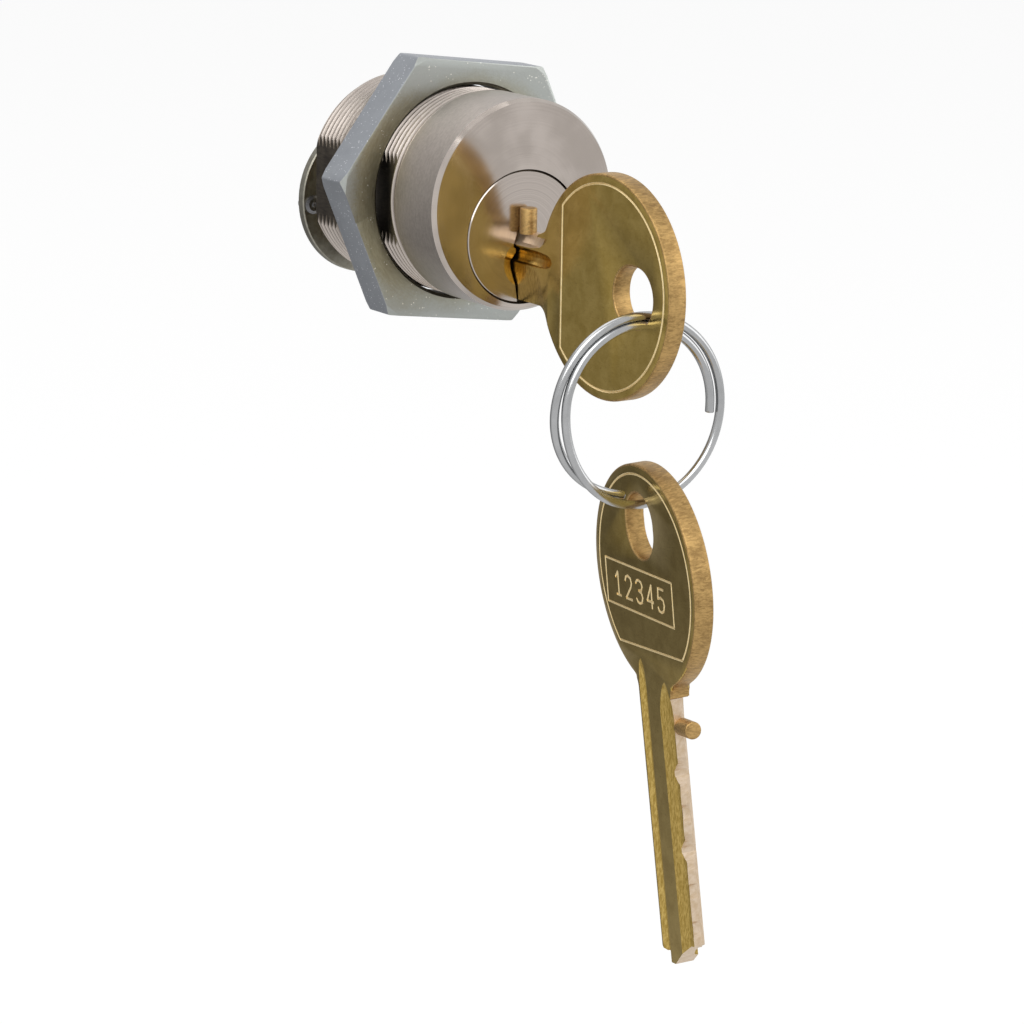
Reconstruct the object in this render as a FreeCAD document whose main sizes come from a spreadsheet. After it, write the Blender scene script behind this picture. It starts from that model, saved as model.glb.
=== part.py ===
"""Key lock for the front panel of a circuit breaker, with two keys on a split ring.

All lengths are millimetres. The barrel lies along Y with its face towards -Y, +Z is up, and
the origin is on the barrel's axis in the plane where the panel meets the nut. The plug turns
about an axis of its own, below the barrel's axis, so the pin chambers get the thick wall above
it. Pieces that sit on the plug's axis are drawn about that axis, and every piece is drawn with
y = 0 at the barrel's face, so only its Placement moves it.
"""
import FreeCAD
import Part
import Sketcher
import math
import os
import re

Vector = FreeCAD.Vector

SIZES = [
    ("head_dia", 22.0, "barrel head, turned smooth"),
    ("head_len", 7.6, "head, from the face to the first thread"),
    ("face_bevel_len", 0.54, "bevel round the face, along the axis"),
    ("face_bevel_drop", 0.34, "bevel round the face, across the axis"),
    ("thread_dia", 21.8, "crests of the panel thread"),
    ("rear_len", 5.2, "last chamber to the barrel's rear end"),
    ("rear_bevel", 0.5, "lead-in bevel at the rear end of the thread"),
    ("flat_offset", 9.8, "barrel axis to the flat that stops it turning in the panel"),
    ("flat_start", 8.9, "face to the front end of the flat"),
    ("nut_front", 10.8, "face to the nut's front side"),
    ("nut_thick", 4.3, "nut thickness"),
    ("nut_flats", 27.0, "nut across flats"),
    ("nut_gap", 0.06, "nut bore over the thread crests, radial"),
    ("nut_turn", 7.2, "turn of the nut from level flats, degrees"),
    ("nut_face_dia", 29.9, "flat sides of the nut, inside the bevelled corners"),
    ("plug_drop", 3.26, "barrel axis down to the plug axis"),
    ("plug_head_dia", 13.78, "plug head"),
    ("plug_head_len", 1.5, "plug head, along the axis"),
    ("plug_head_bevel", 0.15, "bevel on the plug head's rim"),
    ("plug_dia", 13.2, "plug behind its head"),
    ("clip_land", 0.8, "plug behind the circlip's groove"),
    ("run_gap", 0.06, "plug in its bore, radial"),
    ("head_gap", 0.10, "plug head in its counterbore, radial"),
    ("tail_flats", 5.2, "square tail of the plug"),
    ("tail_inset", 0.10, "tail end below the cam disc's rear side"),
    ("tail_gap", 0.03, "square tail in the cam disc, each side"),
    ("pin_count", 5, "pin chambers"),
    ("pin_first", 4.0, "face to the first chamber"),
    ("pin_pitch", 4.0, "chamber to chamber"),
    ("pin_dia", 2.7, "key pins and driver pins"),
    ("chamber_gap", 0.07, "pin in its chamber, radial"),
    ("chamber_floor", 1.1, "plug axis down to the foot of its chambers"),
    ("shear_gap", 0.03, "key pin below the shear line, and driver above it"),
    ("pin_bevel", 0.15, "bevel where key pins and driver pins meet"),
    ("tip_dia", 0.8, "flat on a key pin's tip"),
    ("tip_gap", 0.02, "key pin above its cut"),
    ("driver_len", 2.6, "driver pin"),
    ("driver_nose_len", 0.5, "nose that centres the spring"),
    ("driver_nose_dia", 1.3, "nose that centres the spring"),
    ("cap_len", 1.5, "cap that closes a chamber"),
    ("cap_gap", 0.005, "cap in its chamber, radial"),
    ("spring_dia", 2.1, "pin spring, across the middle of the wire"),
    ("spring_wire", 0.26, "pin spring wire"),
    ("spring_turns", 3.5, "turns of a pin spring"),
    ("spring_gap", 0.03, "pin spring to what it bears on"),
    ("stop_inset", 2.2, "barrel's rear end to the stop pin"),
    ("stop_dia", 2.0, "stop pin"),
    ("stop_gap", 0.10, "stop pin in the plug's groove, each side"),
    ("stop_groove_depth", 1.1, "stop groove, into the plug"),
    ("stop_sink", 0.2, "stop pin below the barrel's surface"),
    ("turn_angle", 90, "turn of the plug, degrees"),
    ("clip_gap", 0.05, "circlip behind the barrel, and in its groove"),
    ("clip_thick", 0.9, "circlip"),
    ("clip_groove_dia", 11.4, "circlip groove in the plug"),
    ("clip_width", 1.75, "circlip, across its ring"),
    ("clip_mouth", 3.4, "gap between the circlip's ends, half"),
    ("clip_eye_dia", 0.9, "circlip eyes"),
    ("clip_eye_turn", 24.8, "turn from the mouth's middle to each eye, degrees"),
    ("spacer_dia", 10.0, "spacer behind the plug"),
    ("spacer_gap", 0.08, "spacer bore over the tail's corners, radial"),
    ("spacer_len", 3.35, "spacer, plug shoulder to cam disc"),
    ("disc_thick", 1.08, "cam disc"),
    ("disc_dia", 16.7, "cam disc"),
    ("disc_bevel", 0.12, "cam disc's edges"),
    ("drive_offset", 7.1, "plug axis to the drive pin, across"),
    ("drive_drop", 0.45, "plug axis down to the drive pin"),
    ("drive_dia", 1.8, "drive pin behind the cam disc"),
    ("drive_len", 0.7, "drive pin behind the cam disc"),
    ("drive_bevel", 0.15, "bevel on the drive pin's tip"),
    ("rivet_dia", 1.3, "drive pin's shank through the cam disc"),
    ("rivet_gap", 0.02, "shank in the cam disc, radial"),
    ("rivet_head_dia", 2.0, "drive pin's peened end in front of the cam disc"),
    ("rivet_head_len", 0.3, "drive pin's peened end in front of the cam disc"),
    ("rivet_dimple", 0.12, "dimple in the peened end"),
    ("screw_dia", 3.0, "tail screw"),
    ("screw_gap", 0.04, "tail screw in the plug and the washer, radial"),
    ("screw_grip", 4.9, "tapped hole for the tail screw"),
    ("screw_room", 0.4, "tapped hole beyond the tail screw's end"),
    ("screw_bevel", 0.3, "bevel on the tail screw's end"),
    ("screw_head_dia", 5.5, "tail screw head"),
    ("screw_head_len", 2.0, "tail screw head"),
    ("screw_slot_width", 0.8, "tail screw slot"),
    ("screw_slot_depth", 0.9, "tail screw slot"),
    ("washer_dia", 5.2, "spring washer"),
    ("washer_thick", 0.7, "spring washer"),
    ("washer_slit", 0.4, "spring washer's slit"),
    ("keyway_top", 1.79, "plug axis up to the keyway's closed end"),
    ("keyway_run", 4.9, "last chamber to the keyway's end"),
    ("sink_dia", 4.9, "cone sunk round the keyway's mouth"),
    ("sink_depth", 0.9, "cone sunk round the keyway's mouth"),
    ("sink_drop", 2.74, "plug axis down to that cone's axis"),
    ("key_thick", 2.1, "key"),
    ("key_top", 0.66, "plug axis up to the uncut edge of the blade"),
    ("key_back", 6.45, "plug axis down to the blade's back"),
    ("bow_dia", 22.9, "bow"),
    ("bow_start", 4.54, "face to the bow's front edge"),
    ("bow_drop", 2.69, "plug axis down to the bow's centre"),
    ("neck_len", 4.5, "face to the shoulder where blade meets bow"),
    ("neck_rise", 1.3, "shoulder above the uncut edge"),
    ("neck_fillet", 0.7, "inner corners at the shoulder"),
    ("hole_dia", 6.1, "bow hole, across"),
    ("hole_stretch", 0.6, "bow hole, extra length along the key"),
    ("hole_lead", 5.16, "bow hole's centre beyond the bow's centre"),
    ("hole_drop", 2.84, "plug axis down to the bow hole's centre"),
    ("nib_gap", 0.05, "nib in front of the plug's face"),
    ("nib_len", 2.35, "nib, along the key"),
    ("nib_rise", 3.76, "plug axis up to the nib's top"),
    ("nib_fillet", 0.6, "nib's corners"),
    ("cut_flat", 1.0, "floor of a cut, along the key"),
    ("cut_one", 1.4, "depth of the first cut"),
    ("cut_two", 0.55, "depth of the second cut"),
    ("cut_three", 1.4, "depth of the third cut"),
    ("cut_four", 0.3, "depth of the fourth cut"),
    ("cut_five", 0.4, "depth of the fifth cut"),
    ("web_run", 2.0, "last chamber to the end of the cut edge"),
    ("back_run", 3.5, "last chamber to the end of the back strip"),
    ("tip_run", 4.4, "last chamber to the blade's tip"),
    ("mill_radius", 9.0, "cutter that mills the blade's sides"),
    ("flute_start", 2.2, "face to where the cutter meets full depth, left side"),
    ("step_start", 3.2, "face to where the cutter meets full depth, right side"),
    ("ring_dia", 20.0, "split ring, outside"),
    ("ring_wire", 0.9, "split ring wire"),
    ("ring_pitch", 1.45, "split ring, turn to turn"),
    ("ring_lead", 2.05, "split ring's middle beyond the bow hole's centre"),
    ("ring_aside", 1.3, "key's middle plane to the ring's axis, to the left"),
    ("hang_gap", 0.15, "ring's wire to the edge of the hole of the key in the lock"),
    ("spare_gap", 0.20, "ring's wire to the edge of the hanging key's hole"),
    ("spare_lead", 0.1, "hanging key's hole centre beyond the split ring's middle"),
    ("spare_aside", 0.4, "key's middle plane to the hanging key's, to the right"),
    ("spare_yaw", -9.4, "turn of the hanging key about Z, degrees"),
    ("spare_lean", -6.0, "lean of the hanging key about X, degrees"),
    ("spare_tilt", -3.6, "tilt of the hanging key about Y, degrees"),
]
# Sizes that follow from the ones above, all measured from the barrel's face but the last.
FOLLOWING = [
    ("last_chamber", "pin_first + (pin_count - 1) * pin_pitch", "middle of the last chamber"),
    ("body_len", "last_chamber + rear_len", "barrel's rear end"),
    ("plug_len", "body_len + 2 * clip_gap + clip_thick + clip_land", "plug's rear shoulder"),
    ("stop_offset", "body_len - stop_inset", "stop pin"),
    ("disc_front", "plug_len + spacer_len", "cam disc's front side"),
    ("keyway_len", "last_chamber + keyway_run", "keyway's end"),
    ("web_len", "last_chamber + web_run", "end of the cut edge"),
    ("back_len", "last_chamber + back_run", "end of the back strip"),
    ("tip_len", "last_chamber + tip_run", "blade's tip"),
    ("bow_middle", "bow_start + bow_dia / 2", "bow's centre"),
    ("hole_reach", "bow_middle + hole_lead", "bow hole's centre"),
    ("ring_reach", "hole_reach + ring_lead", "middle of the split ring"),
    ("spare_reach", "ring_reach + spare_lead", "hanging key's hole centre"),
    ("clip_outer_dia", "clip_groove_dia + 2 * (clip_gap + clip_width)", "circlip, outside"),
]
CUTS = ["cut_one", "cut_two", "cut_three", "cut_four", "cut_five"]
RING_START = 0.25
RING_TURNS = 1.75
ARCS_PER_TURN = 4

doc = FreeCAD.newDocument("PanelKeyLock")
sheet = doc.addObject("Spreadsheet::Sheet", "Sizes")
for row, (alias, number, note) in enumerate(SIZES, start=1):
    sheet.set(f"A{row}", alias)
    sheet.set(f"B{row}", str(number))
    sheet.setAlias(f"B{row}", alias)
    sheet.set(f"C{row}", note)
doc.recompute()

HOLDER = {name: "Sizes" for name, number, note in SIZES}
HOLDER.update({name: "Following" for name, formula, note in FOLLOWING})
ALIAS = re.compile(r"\b(" + "|".join(HOLDER) + r")\b")
SEAT_PLANE = "(nut_front + nut_thick)"
pieces = []


def bind(thing, path, formula):
    """Tie a property to a formula of named sizes."""
    thing.setExpression(path, ALIAS.sub(lambda found: f"{HOLDER[found[0]]}.{found[0]}", formula))


following = doc.addObject("App::VarSet", "Following")
for alias, formula, note in FOLLOWING:
    following.addProperty("App::PropertyFloat", alias, "Lengths", note)
    bind(following, alias, formula)
doc.recompute()


def size(alias):
    """The number that stands under a size's name."""
    return float(sheet.get(alias) if HOLDER[alias] == "Sizes" else getattr(following, alias))


def place(piece, on_plug_axis=True, across="0", turn=0.0):
    """Put a piece on the plug's axis or on the barrel's, with the panel plane at y = 0."""
    piece.Placement = FreeCAD.Placement(Vector(), FreeCAD.Rotation(Vector(0, 1, 0), turn))
    bind(piece, "Placement.Base.x", across)
    bind(piece, "Placement.Base.y", f"-{SEAT_PLANE}")
    bind(piece, "Placement.Base.z", "-plug_drop" if on_plug_axis else "0")


def new_body(label, **where):
    """A body for one piece. Its label is the piece's name."""
    body = doc.addObject("PartDesign::Body", label)
    body.Label = label
    place(body, **where)
    pieces.append(body)
    return body


def new_sketch(body, role, ahead="0", aside="0"):
    """A sketch on one of the body's own planes, moved along the plane's normal."""
    sketch = body.newObject("Sketcher::SketchObject", "Sketch")
    planes = [item for item in body.Origin.OriginFeatures if item.Role == role]
    sketch.AttachmentSupport = [(planes[0], "")]
    sketch.MapMode = "FlatFace"
    bind(sketch, "AttachmentOffset.Base.x", aside)
    bind(sketch, "AttachmentOffset.Base.z", ahead)
    return sketch


def fix_point(sketch, geometry, position, point, start):
    """Hold one point of a sketch at two formulas, measured from the sketch's origin."""
    for kind, formula, now in zip(("DistanceX", "DistanceY"), point, start):
        rule = Sketcher.Constraint(kind, -1, 1, geometry, position, now)
        index = sketch.addConstraint(rule)
        bind(sketch, f"Constraints[{index}]", formula)


def add_polygon(sketch, corners):
    """Straight sides through corners given as pairs of formulas, in order."""
    first = sketch.GeometryCount
    count = len(corners)
    turns = [2 * math.pi * index / count for index in range(count)]
    rough = [Vector(math.cos(turn), math.sin(turn), 0) for turn in turns]
    for index in range(count):
        side = Part.LineSegment(rough[index], rough[(index + 1) % count])
        sketch.addGeometry(side, False)
    for index in range(count):
        following = first + (index + 1) % count
        sketch.addConstraint(Sketcher.Constraint("Coincident", first + index, 2, following, 1))
    for index, corner in enumerate(corners):
        fix_point(sketch, first + index, 1, corner, (rough[index].x, rough[index].y))


def add_square(sketch, half):
    """A square round the sketch's origin."""
    add_polygon(sketch, [
        (half, half),
        (f"-{half}", half),
        (f"-{half}", f"-{half}"),
        (half, f"-{half}"),
    ])


def add_circle(sketch, centre, radius):
    """A circle whose centre and radius are formulas."""
    index = sketch.addGeometry(Part.Circle(Vector(1, 1, 0), Vector(0, 0, 1), 1.0), False)
    fix_point(sketch, index, 3, centre, (1.0, 1.0))
    rule = sketch.addConstraint(Sketcher.Constraint("Radius", index, 1.0))
    bind(sketch, f"Constraints[{rule}]", radius)


def pad(body, sketch, length, reverse=False, both_ways=False):
    """Raise a sketch: away from its plane, the other way, or half each way."""
    feature = body.newObject("PartDesign::Pad", "Pad")
    feature.Profile = sketch
    feature.Reversed = reverse
    if both_ways:
        feature.SideType = "Symmetric"
    bind(feature, "Length", length)
    return feature


def pocket(body, sketch, length=None, reverse=False):
    """Cut a sketch into the body, to a length or right through."""
    feature = body.newObject("PartDesign::Pocket", "Pocket")
    feature.Profile = sketch
    feature.Reversed = reverse
    if length is None:
        feature.Type = "ThroughAll"
    else:
        bind(feature, "Length", length)
    return feature


def turned(body, sketch, kind="Revolution", axis="H_Axis"):
    """Turn a profile a full circle about one of its sketch's axes, as metal or as a cut."""
    feature = body.newObject(f"PartDesign::{kind}", kind)
    feature.Profile = sketch
    feature.ReferenceAxis = (sketch, [axis])
    feature.Angle = 360
    return feature


def round_edges(body, base, radius, wanted):
    """Round the edges across the key whose middle a test accepts."""
    doc.recompute()
    names = []
    for index, edge in enumerate(base.Shape.Edges, start=1):
        start, end = edge.Vertexes[0].Point, edge.Vertexes[-1].Point
        across = abs(start.x - end.x) > size("key_thick") / 2
        if across and wanted((start + end) / 2):
            names.append(f"Edge{index}")
    feature = body.newObject("PartDesign::Fillet", "Fillet")
    feature.Base = (base, names)
    bind(feature, "Radius", radius)
    return feature


def chamber_offsets():
    """Formulas for the distance of each pin chamber from the face."""
    return [f"(pin_first + {index} * pin_pitch)" for index in range(int(size("pin_count")))]


def cut_depth(index):
    """Alias of the depth of one cut. Longer keys repeat the same five depths."""
    return CUTS[index % len(CUTS)]


# Barrel: smooth head, threaded body with one flat, and an eccentric bore for the plug.
def make_barrel():
    body = new_body("barrel", on_plug_axis=False)
    profile = new_sketch(body, "YZ_Plane")
    add_polygon(profile, [
        ("0", "0"),
        ("0", "head_dia / 2 - face_bevel_drop"),
        ("face_bevel_len", "head_dia / 2"),
        ("head_len", "head_dia / 2"),
        ("head_len", "thread_dia / 2"),
        ("body_len - rear_bevel", "thread_dia / 2"),
        ("body_len", "thread_dia / 2 - rear_bevel"),
        ("body_len", "0"),
    ])
    turned(body, profile)
    bore = new_sketch(body, "XZ_Plane")
    add_circle(bore, ("0", "-plug_drop"), "plug_dia / 2 + run_gap")
    pocket(body, bore)
    counterbore = new_sketch(body, "XZ_Plane")
    add_circle(counterbore, ("0", "-plug_drop"), "plug_head_dia / 2 + head_gap")
    pocket(body, counterbore, "plug_head_len")
    flat = new_sketch(body, "XZ_Plane", ahead="-flat_start")
    add_polygon(flat, [
        ("-head_dia", "-head_dia"),
        ("-flat_offset", "-head_dia"),
        ("-flat_offset", "head_dia"),
        ("-head_dia", "head_dia"),
    ])
    pocket(body, flat)
    chambers = new_sketch(body, "XY_Plane")
    for offset in chamber_offsets():
        add_circle(chambers, ("0", offset), "pin_dia / 2 + chamber_gap")
    pocket(body, chambers, reverse=True)
    stop_hole = new_sketch(body, "YZ_Plane")
    add_circle(stop_hole, ("stop_offset", "-plug_drop"), "stop_dia / 2 + cap_gap")
    pocket(body, stop_hole, reverse=True)


# Caps that close the chambers, turned to the barrel's own outside.
def make_chamber_caps():
    caps = []
    for index, offset in enumerate(chamber_offsets()):
        place_now = size("pin_first") + index * size("pin_pitch")
        outside = "head_dia" if place_now < size("head_len") else "thread_dia"
        stem = doc.addObject("Part::Cylinder", f"cap_stem_{index + 1}")
        bind(stem, "Radius", "pin_dia / 2 + chamber_gap - cap_gap")
        bind(stem, "Height", "2 * cap_len")
        bind(stem, "Placement.Base.y", offset)
        bind(stem, "Placement.Base.z", f"{outside} / 2 - cap_len")
        envelope = doc.addObject("Part::Cylinder", f"cap_envelope_{index + 1}")
        envelope.Placement.Rotation = FreeCAD.Rotation(Vector(1, 0, 0), -90)
        bind(envelope, "Radius", f"{outside} / 2")
        bind(envelope, "Height", "body_len")
        cap = doc.addObject("Part::Common", f"cap_{index + 1}")
        cap.Base = stem
        cap.Tool = envelope
        caps.append(cap)
    group = doc.addObject("Part::Compound", "chamber_caps")
    group.Label = "chamber_caps"
    group.Links = caps
    place(group, on_plug_axis=False)
    pieces.append(group)


# Thin hexagon nut on the thread, bevelled on both sides.
def make_hex_nut():
    body = new_body("hex_nut", on_plug_axis=False, turn=size("nut_turn"))
    blank = new_sketch(body, "XZ_Plane", ahead="-nut_front")
    point = "nut_flats / sqrt(3)"
    add_polygon(blank, [
        (point, "0"),
        (f"{point} / 2", "nut_flats / 2"),
        (f"-{point} / 2", "nut_flats / 2"),
        (f"-{point}", "0"),
        (f"-{point} / 2", "-nut_flats / 2"),
        (f"{point} / 2", "-nut_flats / 2"),
    ])
    pad(body, blank, "nut_thick", reverse=True)
    bore = new_sketch(body, "XZ_Plane", ahead="-nut_front")
    add_circle(bore, ("0", "0"), "thread_dia / 2 + nut_gap")
    pocket(body, bore)
    slope = "(nut_flats * 0.7 - nut_face_dia / 2) / sqrt(3)"
    for side, away in (("nut_front", "-"), (SEAT_PLANE, "+")):
        inward = "+" if away == "-" else "-"
        bevel = new_sketch(body, "YZ_Plane")
        add_polygon(bevel, [
            (f"{side} {away} 1", "nut_face_dia / 2"),
            (side, "nut_face_dia / 2"),
            (f"{side} {inward} {slope}", "nut_flats * 0.7"),
            (f"{side} {away} 1", "nut_flats * 0.7"),
        ])
        turned(body, bevel, "Groove")


# Plug: head, pin chambers, keyway, stop groove, circlip groove and square tail.
def make_plug():
    body = new_body("plug")
    clip_front = "body_len + clip_gap"
    clip_rear = f"({clip_front} + clip_thick + clip_gap)"
    tail_end = "(disc_front + disc_thick - tail_inset)"
    profile = new_sketch(body, "YZ_Plane")
    add_polygon(profile, [
        ("0", "0"),
        ("0", "plug_head_dia / 2 - plug_head_bevel"),
        ("plug_head_bevel", "plug_head_dia / 2"),
        ("plug_head_len", "plug_head_dia / 2"),
        ("plug_head_len", "plug_dia / 2"),
        (clip_front, "plug_dia / 2"),
        (clip_front, "clip_groove_dia / 2"),
        (clip_rear, "clip_groove_dia / 2"),
        (clip_rear, "plug_dia / 2"),
        ("plug_len", "plug_dia / 2"),
        ("plug_len", "0"),
    ])
    turned(body, profile)
    tail = new_sketch(body, "XZ_Plane", ahead="-plug_len")
    add_square(tail, "tail_flats / 2")
    pad(body, tail, f"{tail_end} - plug_len", reverse=True)
    tapping = new_sketch(body, "XZ_Plane", ahead=f"-{tail_end}")
    add_circle(tapping, ("0", "0"), "screw_dia / 2 + screw_gap")
    pocket(body, tapping, "screw_grip", reverse=True)
    chambers = new_sketch(body, "XY_Plane", ahead="-chamber_floor")
    for offset in chamber_offsets():
        add_circle(chambers, ("0", offset), "pin_dia / 2 + chamber_gap")
    pocket(body, chambers, reverse=True)
    keyway = new_sketch(body, "XZ_Plane")
    add_polygon(keyway, KEYWAY_OUTLINE)
    pocket(body, keyway, "keyway_len")
    cone = body.newObject("PartDesign::SubtractiveCone", "Sink")
    cone.Placement = FreeCAD.Placement(Vector(), FreeCAD.Rotation(Vector(1, 0, 0), -90))
    bind(cone, "Radius1", "sink_dia / 2")
    bind(cone, "Radius2", "sink_dia / 8")
    bind(cone, "Height", "sink_depth")
    bind(cone, "Placement.Base.z", "-sink_drop")
    groove_floor = size("plug_dia") / 2 - size("stop_groove_depth")
    half_width = math.degrees(math.asin((size("stop_dia") / 2 + size("stop_gap")) / groove_floor))
    groove = new_sketch(body, "XY_Plane")
    groove.AttachmentOffset = FreeCAD.Placement(
        Vector(), FreeCAD.Rotation(Vector(0, 1, 0), -size("turn_angle") / 2))
    wide = "(stop_dia / 2 + stop_gap)"
    deep = "plug_dia / 2 - stop_groove_depth"
    add_polygon(groove, [
        (deep, f"stop_offset - {wide}"),
        ("plug_dia", f"stop_offset - {wide}"),
        ("plug_dia", f"stop_offset + {wide}"),
        (deep, f"stop_offset + {wide}"),
    ])
    arc = turned(body, groove, "Groove", "V_Axis")
    arc.Midplane = True
    arc.Angle = size("turn_angle") + 2 * half_width


# Left and right walls of the keyway, about the plug's axis, with the ribs that guard it.
KEYWAY_OUTLINE = [
    ("-0.45", "keyway_top"),
    ("-key_thick / 2 - 0.20", "-0.64"),
    ("-key_thick / 2 - 0.15", "-1.02"),
    ("-0.78", "-1.20"),
    ("-0.62", "-1.64"),
    ("-0.86", "-2.06"),
    ("-key_thick / 2 - 0.30", "-2.44"),
    ("-key_thick / 2 - 0.30", "-2.64"),
    ("-0.80", "-key_back - 0.05"),
    ("-0.80", "-plug_head_dia / 2 - 0.5"),
    ("key_thick / 2 + 0.15", "-plug_head_dia / 2 - 0.5"),
    ("key_thick / 2 + 0.15", "-5.96"),
    ("0.68", "-5.70"),
    ("0.68", "-5.20"),
    ("key_thick / 2 + 0.15", "-4.94"),
    ("key_thick / 2 + 0.15", "0.02"),
    ("0.60", "0.12"),
    ("0.60", "keyway_top"),
]


# Key pin: a cone that meets its cut, and a flat top just under the shear line.
def make_key_pin(index, offset):
    body = new_body(f"key_pin_{index + 1}")
    bind(body, "Placement.Base.y", f"{offset} - {SEAT_PLANE}")
    foot = f"(key_top - {cut_depth(index)} + tip_gap)"
    top = "sqrt((plug_dia / 2)^2 - (pin_dia / 2)^2) - shear_gap"
    profile = new_sketch(body, "XZ_Plane")
    add_polygon(profile, [
        ("0", foot),
        ("tip_dia / 2", foot),
        ("pin_dia / 2", f"{foot} + (pin_dia - tip_dia) / 2"),
        ("pin_dia / 2", f"{top} - pin_bevel"),
        ("pin_dia / 2 - pin_bevel", top),
        ("0", top),
    ])
    turned(body, profile, axis="V_Axis")


# Driver pin: a plain slug above the shear line with a nose inside its spring.
def make_driver_pin(index, offset):
    body = new_body(f"driver_pin_{index + 1}")
    bind(body, "Placement.Base.y", f"{offset} - {SEAT_PLANE}")
    foot = "(plug_dia / 2 + run_gap + shear_gap)"
    top = f"({foot} + driver_len)"
    profile = new_sketch(body, "XZ_Plane")
    add_polygon(profile, [
        ("0", foot),
        ("pin_dia / 2 - pin_bevel", foot),
        ("pin_dia / 2", f"{foot} + pin_bevel"),
        ("pin_dia / 2", top),
        ("driver_nose_dia / 2", top),
        ("driver_nose_dia / 2", f"{top} + driver_nose_len"),
        ("0", f"{top} + driver_nose_len"),
    ])
    turned(body, profile, axis="V_Axis")


def arc_between(start, start_way, end, end_way):
    """Two arcs that join two points and run along the given way at each."""
    chord = end - start
    ways = start_way + end_way
    a = 2 * (1 - start_way.dot(end_way))
    b = 2 * chord.dot(ways)
    c = -chord.dot(chord)
    reach = (-b + math.sqrt(b * b - 4 * a * c)) / (2 * a) if a > 1e-9 else -c / b
    first_corner = start + start_way * reach
    second_corner = end - end_way * reach
    joint = (first_corner + second_corner) / 2
    middles = []
    for tip, corner, other in ((start, first_corner, joint), (joint, second_corner, end)):
        foot = (tip + other) / 2
        height = (corner - foot).Length
        half = (other - tip).Length / 2
        radius = half * math.hypot(half, height) / height
        bulge = radius - math.sqrt(radius * radius - half * half)
        middles.append(foot + (corner - foot).normalize() * bulge)
    return [
        Part.Arc(start, middles[0], joint).toShape(),
        Part.Arc(joint, middles[1], end).toShape(),
    ]


def coil(point_at, way_at, turns, wire):
    """A round wire wound through a number of turns, as one unbroken tube."""
    steps = int(round(turns * ARCS_PER_TURN))
    edges = []
    for step in range(steps):
        a = step / ARCS_PER_TURN
        b = (step + 1) / ARCS_PER_TURN
        edges += arc_between(point_at(a), way_at(a), point_at(b), way_at(b))
    path = Part.Wire(edges)
    section = Part.Wire(Part.Circle(point_at(0), way_at(0), wire / 2).toShape())
    shell = Part.BRepOffsetAPI.MakePipeShell(path)
    shell.add(section)
    shell.build()
    shell.makeSolid()
    return shell.shape()


def helix_tools(radius, pitch, upright):
    """Point and direction along a helix, counted in turns. It climbs along Z or along Y."""
    def point_at(turn):
        angle = 2 * math.pi * turn
        a, b, climb = radius * math.cos(angle), radius * math.sin(angle), pitch * turn
        return Vector(a, b, climb) if upright else Vector(a, climb, -b)

    def way_at(turn):
        angle = 2 * math.pi * turn
        rise = pitch / (2 * math.pi * radius)
        a, b = -math.sin(angle), math.cos(angle)
        way = Vector(a, b, rise) if upright else Vector(a, rise, -b)
        return way.normalize()

    return point_at, way_at


def least_coil_gap(radius, pitch, wire):
    """Least distance between neighbouring turns, measured on points one turn apart."""
    point_at, way_at = helix_tools(radius, pitch, True)
    here = point_at(0)
    samples = [point_at(0.75 + step / 200) for step in range(101)]
    return min((other - here).Length for other in samples) - wire


def shape_feature(label, shape, z_formula, y_formula):
    """A piece whose shape Part makes. Its place still follows the sheet."""
    feature = doc.addObject("Part::Feature", label)
    feature.Label = label
    feature.Shape = shape
    bind(feature, "Placement.Base.y", y_formula)
    bind(feature, "Placement.Base.z", z_formula)
    pieces.append(feature)
    return feature


# Pin spring: between the driver's shoulder and the cap.
def make_pin_spring(index, offset):
    place_now = size("pin_first") + index * size("pin_pitch")
    outside = "head_dia" if place_now < size("head_len") else "thread_dia"
    shoulder = size("plug_dia") / 2 + size("run_gap") + size("shear_gap") + size("driver_len")
    roof = size(outside) / 2 - size("cap_len") + size("plug_drop")
    room = roof - shoulder - 2 * size("spring_gap") - size("spring_wire")
    radius = size("spring_dia") / 2
    pitch = room / size("spring_turns")
    point_at, way_at = helix_tools(radius, pitch, True)
    wound = coil(point_at, way_at, size("spring_turns"), size("spring_wire"))
    foot = "plug_dia / 2 + run_gap + shear_gap + driver_len + spring_gap + spring_wire / 2"
    shape_feature(f"pin_spring_{index + 1}", wound, f"{foot} - plug_drop", f"{offset} - {SEAT_PLANE}")
    if index == 0:
        gap = least_coil_gap(radius, pitch, size("spring_wire"))
        print(f"pin spring, least gap between turns {gap:.2f} mm")


# Stop pin: pressed into the barrel from its right side, with its tip in the plug's groove.
def make_stop_pin():
    pin = doc.addObject("Part::Cylinder", "stop_pin")
    pin.Label = "stop_pin"
    pin.Placement.Rotation = FreeCAD.Rotation(Vector(0, 1, 0), 90)
    inner = "(plug_dia / 2 - stop_groove_depth + stop_gap)"
    bind(pin, "Radius", "stop_dia / 2")
    bind(pin, "Height", f"sqrt((thread_dia / 2)^2 - plug_drop^2) - stop_sink - {inner}")
    bind(pin, "Placement.Base.x", inner)
    bind(pin, "Placement.Base.y", f"stop_offset - {SEAT_PLANE}")
    bind(pin, "Placement.Base.z", "-plug_drop")
    pieces.append(pin)


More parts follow.
